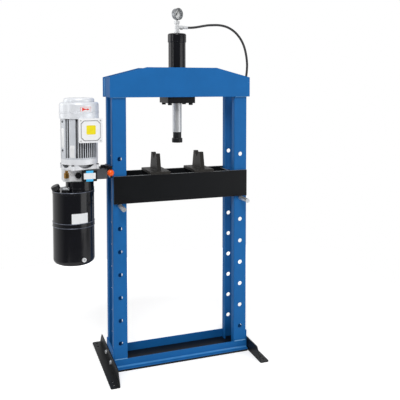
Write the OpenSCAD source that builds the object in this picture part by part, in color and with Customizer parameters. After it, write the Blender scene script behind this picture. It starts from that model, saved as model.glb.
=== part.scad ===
// Floor-standing hydraulic workshop press with an electric power unit, in millimetres.
// The origin is on the floor under the ram. +X is the operator's right, +Y the back, +Z up.

/* [Uprights] */
// Distance from the middle of the press to the outer face of an upright
upright_x = 385; // [340:1:430]
// Width of an upright channel across its web
channel_w = 75; // [66:1:86]
// Depth of a channel's flanges
channel_d = 40; // [34:1:50]
// Wall of a channel
channel_t = 6; // [4:0.5:8]
// Depth of an upright from the front web to the back web
frame_d = 180; // [176:1:210]
// Diameter of the pin holes in the uprights
pin_hole_d = 24; // [23.4:0.1:30]
// Distance between pin holes
pin_pitch = 124.5; // [115:0.5:128]
// Height of the lowest pin hole
pin_hole_z = 141; // [130:1:150]

/* [Base] */
// Thickness of the black base pan
pan_t = 10; // [6:1:14]
// Reach of the base angles in front of and behind the uprights
angle_leg = 28; // [22:1:40]
// Height of the base angles
angle_h = 46; // [36:1:60]
// Thickness of the base angles
angle_t = 6; // [4:0.5:8]
// Thickness of the plate that closes an upright's foot
side_plate_t = 5; // [3:0.5:8]
// Height of the top of that plate above the floor
side_plate_z = 110; // [95:1:128]
// Length of a foot, front to back
foot_len = 562; // [480:1:640]
// Width of a foot's floor leg
foot_leg = 50; // [40:1:70]
// Height of a foot's standing leg
foot_h = 70; // [60:1:90]
// Thickness of a foot
foot_t = 6; // [4:0.5:8]
// Diameter of the foot bolts
foot_bolt_d = 12; // [8:1:14]
// Distance of a foot bolt in front of or behind the middle
foot_bolt_y = 66; // [64:1:70]
// Diameter of the floor anchor holes
anchor_hole_d = 13; // [9:0.5:16]
// Distance of the outer anchor holes from the middle
anchor_y = 252; // [215:1:262]

/* [Crosshead] */
// Half the width of the crosshead
head_half = 398; // [394:1:410]
// Thickness of the crosshead's front and back plates
head_plate_t = 12; // [8:1:16]
// Height of the crosshead's lower edge
head_z = 1462; // [1420:1:1480]
// Height of the crosshead's plates at their ends
head_end_h = 108; // [90:1:130]
// Height of the crosshead's plates in the middle
head_mid_h = 160; // [140:1:180]
// Length of the level top of the crosshead
head_flat = 396; // [300:1:460]
// Thickness of the crosshead's end plates
head_end_t = 5; // [3:0.5:8]
// Width of the plate that carries the cylinder
seat_w = 240; // [220:1:300]
// Thickness of the plate that carries the cylinder
seat_t = 20; // [14:1:30]

/* [Cylinder and ram] */
// Outside diameter of the cylinder
tube_d = 96; // [92:1:104]
// Bore of the cylinder
bore_d = 76; // [70:1:80]
// Length of the cylinder tube above the crosshead's lower edge
tube_len = 300; // [290:1:330]
// Diameter of the cylinder's end cap
cap_d = 103; // [98:1:116]
// Height of the cylinder's end cap
cap_h = 50; // [40:1:60]
// Width of the gland block under the crosshead
gland_w = 156; // [150:1:180]
// Depth of the gland block, front to back
gland_d = 180; // [160:1:196]
// Height of the gland block
gland_h = 34; // [28:1:44]
// Diameter of the gland bolts
gland_bolt_d = 14; // [10:1:16]
// Distance of the gland bolts to the left and right of the ram
gland_bolt_x = 60; // [54:1:64]
// Distance of the gland bolts in front of and behind the ram
gland_bolt_y = 59; // [52:1:66]
// Diameter of the chromed rod
rod_d = 51; // [46:1:53]
// Length of rod that stands out below the gland block
rod_out = 163; // [160:1:190]
// Height of the piston
piston_h = 40; // [30:1:44]
// Length of rod between the gland block's underside and the piston
rod_in = 123; // [120:1:125]
// Diameter of the ram nose's neck
nose_neck_d = 47; // [40:1:50]
// Height of the ram nose's neck
nose_neck_h = 34; // [20:1:44]
// Diameter of the ram nose's pressing collar
nose_d = 59; // [50:1:66]
// Height of the pressing collar
nose_h = 25; // [16:1:34]

/* [Bed] */
// Half the length of the bed
bed_half = 381; // [372:1:400]
// Height of the bed's beams
bed_h = 147; // [130:1:160]
// Thickness of the bed's beams
bed_t = 12; // [8:1:14]
// Number of the pin hole that carries the bed, counted from the lowest
bed_hole = 6; // [5:1:7]
// Thickness of the bed's spacer plates
spacer_t = 10; // [6:1:16]
// Diameter of the bed pins
pin_d = 23; // [21:0.1:23.2]
// Length of pin that stands out in front of the bed
pin_front = 90; // [60:1:110]
// Distance of the V-blocks from the ram's axis
vee_x = 126; // [112:1:160]
// Width of a V-block's base plate
vee_base_w = 110; // [80:1:111]
// Thickness of a V-block's base plate
vee_base_t = 14; // [8:1:20]
// Thickness of a V-block's standing plate
vee_t = 22; // [14:1:30]
// Height of a V-block above the bed
vee_h = 106; // [90:1:114]
// Length of the standing plate at its foot
vee_foot = 150; // [130:1:170]
// Length of the standing plate at its top
vee_top = 104; // [90:1:120]
// Depth of the V notch
vee_notch = 34; // [20:1:40]

/* [Gauge and hose] */
// Height of the gauge tee
tee_h = 70; // [60:1:90]
// Diameter of the gauge tee
tee_d = 29; // [24:1:34]
// Height of the hose port above the cylinder's cap
port_h = 35; // [30:1:40]
// Diameter of the gauge's case
gauge_d = 63; // [50:1:80]
// Depth of the gauge's case
gauge_depth = 28; // [24:1:40]
// Outside diameter of the pressure hose
hose_d = 13; // [10:1:16]

/* [Power unit] */
// Distance of the motor's axis to the left of the left upright
unit_gap = 167; // [160:1:200]
// Distance of the motor's axis in front of the press's middle
unit_front = 60; // [50:1:70]
// Distance of the tank's axis to the left of the motor's axis
tank_shift = 33; // [14:1:36]
// Height of the tank's bottom above the floor
tank_z = 605; // [560:1:640]
// Diameter of the oil tank
tank_d = 212; // [208:1:230]
// Height of the oil tank
tank_h = 372; // [350:1:420]
// Wall of the oil tank
tank_t = 3; // [2:0.5:5]
// Diameter of the neck between the tank and the manifold
neck_d = 144; // [136:1:146]
// Height of that neck
neck_h = 50; // [42:1:60]
// Height of the manifold
manifold_h = 61; // [58:1:70]
// Depth of the manifold, front to back
manifold_d = 100; // [90:1:110]
// Height of the motor's drive-end flange
flange_h = 54; // [46:1:60]
// Height of the finned motor housing
motor_h = 218; // [206:1:240]
// Radius of the motor over its fins
fin_r = 94; // [90:0.5:99]
// Radius at the root of the fins
fin_root_r = 79; // [76:1:84]
// Thickness of a fin
fin_t = 4; // [2.5:0.5:5]
// Number of places for fins round the motor
fin_count = 50; // [40:1:54]
// Height of the fan cover above the housing
fan_cover_h = 94; // [90:1:120]
// Width of the terminal box
box_w = 118; // [110:1:130]
// Height of the terminal box
box_h = 122; // [112:1:128]
// Distance of the terminal box's face in front of the motor's axis
box_front = 136; // [126:1:150]
// Diameter of the motor's shaft
shaft_d = 24; // [18:1:28]
// Length of the valve lever
lever_len = 68; // [64:1:72]
// Diameter of the lever's ball knob
knob_d = 35; // [30:1:36]

/* [Hidden] */
$fn = 64;

// Small values shared by the fits
run_gap = 0.05;
seat_gap = 0.3;
slide_gap = 1;
eps = 1;

// Colours
blue = "#2467a4";
black = "#1d1f22";
steel = "#9aa0a6";
chrome = "#d4d8dc";
alloy = "#c3cad2";
brass = "#b98a3c";

// Uprights and base
web_y = frame_d / 2;
hole_x = upright_x - channel_w / 2;
hole_count = 9;
channel_top = head_z + head_end_h - 14;
corner_r = min(4, channel_t);
foot_bolt_z = (pan_t + foot_h) / 2 - 4;
foot_in_x = upright_x + side_plate_t;
foot_out_x = foot_in_x + foot_leg;
foot_chamfer = 46;
foot_toe = 11;
anchor_step = 36;
nut_af = foot_bolt_d * 1.55;
nut_h = foot_bolt_d * 0.8;
bolt_head_h = foot_bolt_d * 0.62;

// Crosshead, cylinder and ram
plate_y = web_y + head_plate_t;
tube_top = head_z + tube_len;
cap_top = tube_top + cap_h;
cap_spigot = 12;
cap_round = 9;
port_d = 14;
gland_z = head_z - gland_h;
gland_head_h = 11;
gland_head_d = gland_bolt_d * 1.6;
gland_thread = seat_t - 4;
bush_wall = 6;
wiper_h = 7;
wiper_lip = 3;
nose_top = gland_z - rod_out;
piston_z = gland_z + rod_in;
spigot_d = rod_d * 0.6;
stud_d = 24;
stud_h = 30;
seal_w = 8;
seal_depth = 5;

// Bed and pins
pin_z = pin_hole_z + bed_hole * pin_pitch;
pin_drop = (pin_hole_d - pin_d) / 2 - run_gap;
bed_z = pin_z - pin_drop + pin_d / 2 + seat_gap;
bed_top = bed_z + bed_h;
bed_in_y = web_y + slide_gap;
bed_out_y = bed_in_y + bed_t;
spacer_x = upright_x - channel_w - 4;
spacer_inset = 10;
pin_back = 12;
vee_base_d = 2 * bed_out_y;
vee_base_chamfer = 5;

// Gauge and hose
tee_top = cap_top + tee_h;
port_z = cap_top + port_h;
gauge_z = tee_top + 6 + gauge_d / 2;
gauge_front = -gauge_depth * 0.55;
gauge_wall = 2;
gauge_turn = 28;
fitting_x = 62;
elbow_x = 421;
elbow_z = head_z + 60;
hose_end_z = elbow_z + 34;
hose_sides = 10;
hose_route = [
    [62, 385], [78, 385], [100, 387], [125, 391], [155, 397], [185, 402], [215, 404], [245, 405],
    [275, 402], [305, 394], [333, 380], [358, 361], [379, 338], [396, 312], [409, 283], [418, 251],
    [424, 218], [427, 185], [426, 152], [423, 124], [421, 108], [421, 94]
];

// Power unit
unit_x = -(upright_x + unit_gap);
unit_y = -unit_front;
tank_x = unit_x - tank_shift;
tank_top = tank_z + tank_h;
lid_t = 8;
neck_ring = 14;
manifold_z = tank_top + lid_t + neck_h;
flange_z = manifold_z + manifold_h;
motor_z = flange_z + flange_h;
motor_top = motor_z + motor_h;
fan_top = motor_top + fan_cover_h;
bell_r = fin_r + 4.3;
bell_h = 11;
cover_wall = 2;
cover_r = bell_r + seat_gap + cover_wall;
cover_round = 13;
cover_rise = 22;
cover_cap_r = cover_r - 22;
tank_round = 26;
filler_angle = 195;
filler_tilt = 25;
filler_r = tank_d / 2 - 19;
filler_neck_d = 28;
filler_neck_h = 26;
filler_cap_d = 44;
filler_cap_h = 22;
filler_cap_lift = 11;
drain_angle = 287;
drain_z = tank_z + 37;
drain_boss_d = 26;
drain_reach = 9;
drain_d = 16;
manifold_left = tank_x - 55;
manifold_right = unit_x + 75;
manifold_front = unit_y - manifold_d / 2;
manifold_back = unit_y + manifold_d / 2;
check_x = manifold_left + 13;
check_z = manifold_z + 34;
check_d = 14;
check_depth = 16;
check_reach = 15;
coil_w = 74;
coil_d = 46;
coil_h = manifold_h - 6;
coil_x = unit_x + 1;
valve_right = -(upright_x + 27);
valve_h = manifold_h - 5;
valve_z = manifold_z + 3;
valve_d = 50;
lever_x = -(upright_x + 46);
lever_y = unit_y - 15;
lever_pin_d = 12;
lever_pin_h = 28;
lever_hub_d = 30;
lever_t = 14;
lever_w = 14;
lever_z = valve_z + valve_h + seat_gap;
lever_turn = -67;
knob_gap = 3;
knob_stud = 16;
knob_stud_d = 10;
bracket_t = 8;
bracket_z = manifold_z + 4;
bracket_h = manifold_h - 8;
bracket_bolt_d = 10;
bracket_bolt_y = web_y - channel_d + 16;
bracket_y = bracket_bolt_y + 16;
bracket_bolt_dz = 17;
box_x = unit_x + 38;
box_z = motor_top - box_h - 7;
box_panel = 4;
box_inset = 13;
box_groove = 3;
tank_band = 24;
flange_turn = 17;
motor_pads = [[200, 17], [240, 13], [342, 12], [60, 15]];
cavity_r = 32;
cavity_h = 30;
pump_w = 64;
pump_h = 84;

// Two-dimensional helpers

// Corner waste of radius r, with the corner at the origin and the shape towards +X and +Y
module corner_waste(r) {
    difference() {
        translate([-eps, -eps]) square(r + eps);
        translate([r, r]) circle(r = r);
    }
}

// Rectangle with its four corners rounded
module rounded_rect(w, h, r) {
    difference() {
        square([w, h]);
        corner_waste(r);
        translate([w, 0]) mirror([1, 0]) corner_waste(r);
        translate([0, h]) mirror([0, 1]) corner_waste(r);
        translate([w, h]) rotate(180) corner_waste(r);
    }
}

// Channel section: web along X at y = 0, flanges towards +Y, rounded at the bends
module channel_section() {
    difference() {
        square([channel_w, channel_d]);
        corner_waste(corner_r);
        translate([channel_w, 0]) mirror([1, 0]) corner_waste(corner_r);
        translate([channel_t, channel_t]) square([channel_w - 2 * channel_t, channel_d]);
    }
}

// Angle section: standing leg at x = 0 to t, lying leg at y = 0 to t, with a fillet in the corner
module angle_section(leg, height, t) {
    square([leg, t]);
    square([t, height]);
    translate([t, t]) {
        difference() {
            square(t);
            translate([t, t]) circle(r = t);
        }
    }
}

// Hexagon prism measured across its flats
module hex(af, h) {
    cylinder(d = af / cos(30), h = h, $fn = 6);
}

// Cylinder along +X, from x = 0
module bar_x(d, h) {
    rotate([0, 90, 0]) cylinder(d = d, h = h);
}

// Cylinder along +Y, from y = 0
module bar_y(d, h) {
    rotate([-90, 0, 0]) cylinder(d = d, h = h);
}

// Uprights

// Front-left channel in place, with its pin holes and foot bolt hole
module channel() {
    difference() {
        translate([-upright_x, -web_y, pan_t]) linear_extrude(channel_top - pan_t) channel_section();
        for (i = [0 : hole_count - 1]) {
            translate([-hole_x, -web_y - eps, pin_hole_z + i * pin_pitch]) {
                bar_y(pin_hole_d, channel_t + 2 * eps);
            }
        }
        translate([-upright_x - eps, -foot_bolt_y, foot_bolt_z]) bar_x(foot_bolt_d + 1, channel_t + 2 * eps);
    }
}

// Holes in the left channels for the power unit's bracket
module bracket_holes(sign) {
    for (dz = [-bracket_bolt_dz, bracket_bolt_dz]) {
        translate([-upright_x - bracket_t - eps, sign * bracket_bolt_y, bracket_z + bracket_h / 2 + dz]) {
            bar_x(bracket_bolt_d + 0.6, bracket_t + channel_t + 2 * eps);
        }
    }
}

module front_left_channel() {
    color(blue) difference() {
        channel();
        bracket_holes(-1);
    }
}

module back_left_channel() {
    color(blue) difference() {
        mirror([0, 1, 0]) channel();
        bracket_holes(1);
    }
}

module front_right_channel() {
    color(blue) mirror([1, 0, 0]) channel();
}

module back_right_channel() {
    color(blue) mirror([1, 0, 0]) mirror([0, 1, 0]) channel();
}

// Base

module base_pan() {
    color(black) translate([-upright_x, -web_y - angle_leg, 0]) {
        cube([2 * upright_x, frame_d + 2 * angle_leg, pan_t]);
    }
}

module base_front_angle() {
    color(blue) translate([-upright_x, -web_y, pan_t]) rotate([90, 0, 90]) mirror([1, 0, 0]) {
        linear_extrude(2 * upright_x) angle_section(angle_leg, angle_h, angle_t);
    }
}

module base_back_angle() {
    color(blue) mirror([0, 1, 0]) base_front_angle();
}

module left_side_plate() {
    color(blue) difference() {
        translate([-foot_in_x, -web_y, pan_t]) cube([side_plate_t, frame_d, side_plate_z - pan_t]);
        for (s = [-1, 1]) {
            translate([-foot_in_x - eps, s * foot_bolt_y, foot_bolt_z]) {
                bar_x(foot_bolt_d + 1, side_plate_t + 2 * eps);
            }
        }
    }
}

module right_side_plate() {
    color(blue) mirror([1, 0, 0]) left_side_plate();
}

// Foot: floor leg outwards with rounded toes, standing leg with sloped ends
module left_foot() {
    toe_y = foot_len / 2 - foot_toe;
    color(black) difference() {
        union() {
            translate([-foot_out_x, -foot_len / 2, 0]) linear_extrude(foot_t) {
                rounded_rect(foot_leg, foot_len, 8);
            }
            translate([-foot_in_x - foot_t, 0, 0]) rotate([90, 0, 90]) linear_extrude(foot_t) polygon([
                [-toe_y, 0], [toe_y, 0], [toe_y, foot_t + 4],
                [toe_y - foot_chamfer, foot_h], [foot_chamfer - toe_y, foot_h], [-toe_y, foot_t + 4]
            ]);
        }
        for (s = [-1, 1]) {
            translate([-foot_in_x - foot_t - eps, s * foot_bolt_y, foot_bolt_z]) {
                bar_x(foot_bolt_d + 1, foot_t + 2 * eps);
            }
            for (y = [anchor_y - anchor_step, anchor_y]) {
                translate([-foot_in_x - foot_t - (foot_leg - foot_t) / 2, s * y, -eps]) {
                    cylinder(d = anchor_hole_d, h = foot_t + 2 * eps);
                }
            }
        }
    }
}

module right_foot() {
    color(black) mirror([1, 0, 0]) left_foot();
}

// One foot bolt on the left, its head outside and its end inside the channel
module foot_bolt() {
    grip = foot_t + side_plate_t + channel_t;
    translate([-foot_in_x - foot_t, 0, foot_bolt_z]) {
        translate([-bolt_head_h, 0, 0]) rotate([0, 90, 0]) hex(nut_af, bolt_head_h);
        translate([-2, 0, 0]) bar_x(nut_af * 1.2, 2);
        bar_x(foot_bolt_d, grip + nut_h + 2);
    }
}

// Nut of a foot bolt, inside the channel
module foot_nut() {
    translate([-upright_x + channel_t, 0, foot_bolt_z]) difference() {
        rotate([0, 90, 0]) hex(nut_af, nut_h);
        translate([-eps, 0, 0]) bar_x(foot_bolt_d + 0.2, nut_h + 2 * eps);
    }
}

module foot_bolts() {
    color(steel) for (m = [0, 1], s = [-1, 1]) {
        mirror([m, 0, 0]) translate([0, s * foot_bolt_y, 0]) {
            foot_bolt();
            foot_nut();
        }
    }
}

// Crosshead

// Front or back plate with its sloped shoulders
module head_plate() {
    rotate([90, 0, 0]) linear_extrude(head_plate_t) polygon([
        [-head_half, head_z], [head_half, head_z], [head_half, head_z + head_end_h],
        [head_flat / 2, head_z + head_mid_h], [-head_flat / 2, head_z + head_mid_h],
        [-head_half, head_z + head_end_h]
    ]);
}

module crosshead_front_plate() {
    color(blue) translate([0, -web_y, 0]) head_plate();
}

module crosshead_back_plate() {
    color(blue) translate([0, plate_y, 0]) head_plate();
}

module head_end() {
    translate([upright_x, -web_y, head_z]) cube([head_end_t, frame_d, head_end_h]);
}

module crosshead_left_end() {
    color(blue) mirror([1, 0, 0]) head_end();
}

module crosshead_right_end() {
    color(blue) difference() {
        head_end();
        translate([upright_x - eps, 0, elbow_z]) bar_x(12.4, head_end_t + 2 * eps);
    }
}

// Plate welded between the crosshead's plates, bored for the cylinder
module cylinder_seat_plate() {
    color(blue) difference() {
        translate([-seat_w / 2, -web_y, head_z]) cube([seat_w, frame_d, seat_t]);
        translate([0, 0, head_z - eps]) cylinder(d = tube_d + 0.4, h = seat_t + 2 * eps);
        for (x = [-gland_bolt_x, gland_bolt_x], y = [-gland_bolt_y, gland_bolt_y]) {
            translate([x, y, head_z - eps]) cylinder(d = gland_bolt_d + 0.2, h = gland_thread + eps);
        }
    }
}

// Cylinder and ram

module cylinder_tube() {
    color(black) difference() {
        translate([0, 0, head_z]) cylinder(d = tube_d, h = tube_len);
        translate([0, 0, head_z - eps]) cylinder(d = bore_d, h = tube_len + 2 * eps);
    }
}

// End cap with rounded edges, a spigot in the bore and a port in its top
module cylinder_cap() {
    r = cap_d / 2;
    color(black) difference() {
        union() {
            translate([0, 0, tube_top]) rotate_extrude() difference() {
                square([r, cap_h]);
                translate([r, 0]) mirror([1, 0]) corner_waste(4);
                translate([r, cap_h]) rotate(180) corner_waste(cap_round);
            }
            translate([0, 0, tube_top - cap_spigot]) cylinder(d = bore_d - 0.2, h = cap_spigot + eps);
        }
        translate([0, 0, tube_top - cap_spigot - eps]) cylinder(d = port_d, h = cap_h + cap_spigot + 2 * eps);
    }
}

// Block under the crosshead that closes the cylinder and guides the rod
module gland_block() {
    color(black) difference() {
        translate([-gland_w / 2, -gland_d / 2, gland_z]) linear_extrude(gland_h) {
            rounded_rect(gland_w, gland_d, 10);
        }
        translate([0, 0, gland_z - eps]) cylinder(d = rod_d + 2 * bush_wall, h = gland_h + 2 * eps);
        for (x = [-gland_bolt_x, gland_bolt_x], y = [-gland_bolt_y, gland_bolt_y]) {
            translate([x, y, gland_z - eps]) cylinder(d = gland_bolt_d + 1, h = gland_h + 2 * eps);
        }
    }
}

// Four socket-headed bolts up through the gland block
module gland_bolts() {
    color(black) for (x = [-gland_bolt_x, gland_bolt_x], y = [-gland_bolt_y, gland_bolt_y]) {
        translate([x, y, gland_z - gland_head_h]) difference() {
            union() {
                cylinder(d = gland_head_d, h = gland_head_h);
                cylinder(d = gland_bolt_d, h = gland_head_h + gland_h + gland_thread - 2);
            }
            translate([0, 0, -eps]) hex(gland_bolt_d * 0.8, gland_head_h * 0.6);
        }
    }
}

module rod_bush() {
    color(brass) difference() {
        translate([0, 0, gland_z + wiper_h]) cylinder(d = rod_d + 2 * bush_wall, h = gland_h - wiper_h);
        translate([0, 0, gland_z]) cylinder(d = rod_d + 2 * run_gap, h = gland_h + eps);
    }
}

module rod_wiper() {
    color("#2a2a2c") difference() {
        union() {
            translate([0, 0, gland_z]) cylinder(d = rod_d + 2 * bush_wall, h = wiper_h);
            translate([0, 0, gland_z - wiper_lip]) cylinder(d = rod_d + bush_wall, h = wiper_lip + eps);
        }
        translate([0, 0, gland_z - wiper_lip - eps]) {
            cylinder(d = rod_d + 4 * run_gap, h = wiper_h + wiper_lip + 2 * eps);
        }
    }
}

// Chromed rod with a spigot for the piston and a socket for the nose
module ram_rod() {
    color(chrome) difference() {
        union() {
            translate([0, 0, nose_top]) cylinder(d = rod_d, h = piston_z - nose_top);
            translate([0, 0, piston_z - eps]) cylinder(d = spigot_d, h = piston_h + eps);
        }
        translate([0, 0, nose_top - eps]) cylinder(d = stud_d + 2 * run_gap, h = stud_h + 2);
    }
}

module ram_piston() {
    color(steel) difference() {
        translate([0, 0, piston_z]) cylinder(d = bore_d - 2 * run_gap, h = piston_h);
        translate([0, 0, piston_z - eps]) cylinder(d = spigot_d + 2 * run_gap, h = piston_h + 2 * eps);
        translate([0, 0, piston_z + (piston_h - seal_w) / 2]) difference() {
            cylinder(d = bore_d + eps, h = seal_w);
            translate([0, 0, -eps]) cylinder(d = bore_d - 2 * seal_depth, h = seal_w + 2 * eps);
        }
    }
}

module piston_seal() {
    color("#30343a") translate([0, 0, piston_z + (piston_h - seal_w) / 2]) difference() {
        cylinder(d = bore_d - 2 * run_gap, h = seal_w);
        translate([0, 0, -eps]) cylinder(d = bore_d - 2 * seal_depth + 2 * run_gap, h = seal_w + 2 * eps);
    }
}

// Pressing nose: a neck, a wider collar and a stud in the rod's end
module ram_nose() {
    r = nose_d / 2;
    color(black) translate([0, 0, nose_top - nose_neck_h - nose_h]) {
        rotate_extrude() difference() {
            square([r, nose_h]);
            translate([r, 0]) mirror([1, 0]) corner_waste(2);
            translate([r, nose_h]) rotate(180) corner_waste(3);
        }
        translate([0, 0, nose_h - eps]) cylinder(d = nose_neck_d, h = nose_neck_h + eps);
        translate([0, 0, nose_h + nose_neck_h - eps]) cylinder(d = stud_d, h = stud_h + eps);
    }
}

// Bed

module bed_front_beam() {
    color(black) translate([-bed_half, -bed_out_y, bed_z]) cube([2 * bed_half, bed_t, bed_h]);
}

module bed_back_beam() {
    color(black) mirror([0, 1, 0]) bed_front_beam();
}

// Two plates welded between the beams, just inside the uprights
module bed_spacers() {
    color(black) for (m = [0, 1]) {
        mirror([m, 0, 0]) translate([-spacer_x, -bed_in_y, bed_z + spacer_inset]) {
            cube([spacer_t, 2 * bed_in_y, bed_h - 2 * spacer_inset]);
        }
    }
}

// V-block: base plate across both beams and a tapered standing plate with a V notch
module v_block() {
    c = vee_base_chamfer;
    half = vee_base_d / 2;
    translate([-vee_base_w / 2, 0, bed_top]) rotate([90, 0, 90]) linear_extrude(vee_base_w) polygon([
        [-half, 0], [half, 0], [half, vee_base_t - c], [half - c, vee_base_t],
        [c - half, vee_base_t], [-half, vee_base_t - c]
    ]);
    translate([-vee_t / 2, 0, bed_top]) rotate([90, 0, 90]) linear_extrude(vee_t) polygon([
        [-vee_foot / 2, vee_base_t - eps], [vee_foot / 2, vee_base_t - eps], [vee_top / 2, vee_h],
        [vee_notch, vee_h], [0, vee_h - vee_notch], [-vee_notch, vee_h], [-vee_top / 2, vee_h]
    ]);
}

module left_v_block() {
    color("#3d3a38") translate([-vee_x, 0, 0]) v_block();
}

module right_v_block() {
    color("#3d3a38") translate([vee_x, 0, 0]) v_block();
}

// Pin through an upright's front and back channels, with a groove near its front end
module bed_pin() {
    front = bed_out_y + pin_front;
    translate([-hole_x, -front, pin_z - pin_drop]) difference() {
        bar_y(pin_d, front + bed_out_y + pin_back);
        translate([0, 10, 0]) difference() {
            bar_y(pin_d + eps, 5);
            translate([0, -eps, 0]) bar_y(pin_d - 5, 5 + 2 * eps);
        }
    }
}

module left_bed_pin() {
    color(steel) bed_pin();
}

module right_bed_pin() {
    color(steel) mirror([1, 0, 0]) bed_pin();
}

// Gauge

// Tee on the cylinder's cap: gauge above, hose to the right
module gauge_tee() {
    color(chrome) difference() {
        union() {
            translate([0, 0, cap_top]) hex(tee_d * 0.95, 16);
            translate([0, 0, cap_top + 16 - eps]) cylinder(d = tee_d * 0.8, h = tee_h - 32 + 2 * eps);
            translate([0, 0, tee_top - 16]) hex(tee_d * 0.95, 16);
            translate([0, 0, cap_top - 20]) cylinder(d = port_d - 0.2, h = 20 + eps);
            translate([0, 0, port_z]) bar_x(tee_d * 0.62, tee_d * 0.6);
        }
        translate([0, 0, tee_top - 10]) cylinder(d = 10.2, h = 10 + eps);
    }
}

// Cup of the gauge with a rolled bezel, open to the front, on a threaded stem
module gauge_case() {
    color(chrome) rotate(gauge_turn) {
        translate([0, gauge_front, gauge_z]) rotate([-90, 0, 0]) rotate_extrude() difference() {
            union() {
                square([gauge_d / 2, gauge_depth]);
                square([gauge_d / 2 + 1.5, 4]);
            }
            translate([gauge_d / 2, gauge_depth]) rotate(180) corner_waste(4);
            translate([-eps, -eps]) square([gauge_d / 2 - gauge_wall + eps, gauge_depth - 6 + eps]);
        }
        translate([0, 0, tee_top - 9]) cylinder(d = 10, h = gauge_z - gauge_d / 2 - tee_top + 9 + 2);
    }
}

module gauge_dial() {
    color("white") rotate(gauge_turn) translate([0, gauge_front + gauge_depth - 8, gauge_z]) difference() {
        bar_y(gauge_d - 2 * gauge_wall - 0.4, 2);
        translate([0, -eps, 0]) bar_y(3 + 2 * run_gap, 2 + 2 * eps);
    }
}

// Needle: a tapered pointer on its own arbor
module gauge_needle() {
    y = gauge_front + gauge_depth - 11;
    len = gauge_d * 0.36;
    color("black") rotate(gauge_turn) translate([0, y, gauge_z]) {
        bar_y(8, 1.6);
        bar_y(3, 4.6);
        rotate([0, 35, 0]) rotate([90, 0, 0]) translate([0, 0, -1.2]) linear_extrude(1) polygon([
            [-1.6, -len * 0.35], [1.6, -len * 0.35], [0.5, len], [-0.5, len]
        ]);
    }
}

module gauge_glass() {
    color("#dfe8ee") rotate(gauge_turn) translate([0, gauge_front + 2, gauge_z]) {
        bar_y(gauge_d - 2 * gauge_wall - 0.4, 2.5);
    }
}

// Hose

// Swivel nut and crimped ferrule between the tee and the hose
module hose_fitting() {
    start = tee_d * 0.6;
    len = fitting_x - start;
    color(chrome) translate([start, 0, port_z]) {
        rotate([0, 90, 0]) hex(tee_d * 0.75, len * 0.35);
        bar_x(hose_d + 1, len * 0.5);
        translate([len * 0.48, 0, 0]) bar_x(hose_d + 5, len * 0.52);
    }
}

// Direction of the route at point i
function route_dir(i) =
    let (n = len(hose_route), a = hose_route[max(i - 1, 0)], b = hose_route[min(i + 1, n - 1)], d = b - a)
    d / norm(d);

// Hose: a ten-sided tube swept along its route in the press's middle plane, heights from the crosshead's foot
module pressure_hose() {
    n = len(hose_route);
    points = [
        for (i = [0 : n - 1], k = [0 : hose_sides - 1])
        let (d = route_dir(i), p = hose_route[i], a = 360 * k / hose_sides, s = hose_d / 2 * sin(a))
        [p[0] - d[1] * s, hose_d / 2 * cos(a), head_z + p[1] + d[0] * s]
    ];
    sides = [
        for (i = [0 : n - 2], k = [0 : hose_sides - 1])
        let (q = (k + 1) % hose_sides)
        [i * hose_sides + k, (i + 1) * hose_sides + k, (i + 1) * hose_sides + q, i * hose_sides + q]
    ];
    first = [for (k = [0 : hose_sides - 1]) k];
    last = [for (k = [hose_sides - 1 : -1 : 0]) (n - 1) * hose_sides + k];
    color("#3f3f3f") polyhedron(points, concat(sides, [first], [last]));
}

// Elbow that takes the hose through the crosshead's right end plate
module hose_elbow() {
    face = upright_x + head_end_t;
    color(chrome) {
        translate([face, 0, elbow_z]) rotate([0, 90, 0]) hex(24, 10);
        translate([face, 0, elbow_z]) bar_x(18, elbow_x - face);
        translate([elbow_x, 0, elbow_z]) sphere(d = 20);
        translate([elbow_x, 0, elbow_z]) cylinder(d = 18, h = hose_end_z - elbow_z);
        translate([elbow_x, 0, hose_end_z - 14]) hex(22, 14);
        translate([face - head_end_t - 8, 0, elbow_z]) bar_x(12, head_end_t + 9);
    }
}

// Power unit

// Bracket: a plate on the upright's outer side and an arm behind the manifold
module unit_bracket() {
    arm_left = manifold_left + 20;
    color(black) difference() {
        union() {
            translate([-upright_x - bracket_t, -bracket_y, bracket_z]) {
                cube([bracket_t, 2 * bracket_y, bracket_h]);
            }
            translate([arm_left, manifold_back, bracket_z]) {
                cube([-upright_x - bracket_t - arm_left + eps, bracket_t, bracket_h]);
            }
            translate([-upright_x - bracket_t, manifold_back + bracket_t, bracket_z]) {
                linear_extrude(bracket_t) polygon([[-60, -eps], [eps, -eps], [eps, 50]]);
            }
        }
        bracket_holes(-1);
        bracket_holes(1);
        for (x = [manifold_left + 40, manifold_right - 30]) {
            translate([x, manifold_back - eps, bracket_z + bracket_h / 2]) {
                bar_y(bracket_bolt_d + 0.6, bracket_t + 2 * eps);
            }
        }
    }
}

// Bolts that hold the bracket to the upright and the manifold to the bracket
module unit_bolts() {
    d = bracket_bolt_d;
    color(steel) {
        for (s = [-1, 1], dz = [-bracket_bolt_dz, bracket_bolt_dz]) {
            translate([-upright_x - bracket_t, s * bracket_bolt_y, bracket_z + bracket_h / 2 + dz]) {
                translate([-d * 0.5, 0, 0]) rotate([0, 90, 0]) hex(d * 1.6, d * 0.5);
                bar_x(d, bracket_t + channel_t + d);
                translate([bracket_t + channel_t, 0, 0]) rotate([0, 90, 0]) hex(d * 1.6, d * 0.8);
            }
        }
        for (x = [manifold_left + 40, manifold_right - 30]) {
            translate([x, manifold_back + bracket_t, bracket_z + bracket_h / 2]) {
                rotate([-90, 30, 0]) hex(d * 1.6, d * 0.5);
                translate([0, -bracket_t - 18, 0]) bar_y(d, bracket_t + 18);
            }
        }
    }
}

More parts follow.
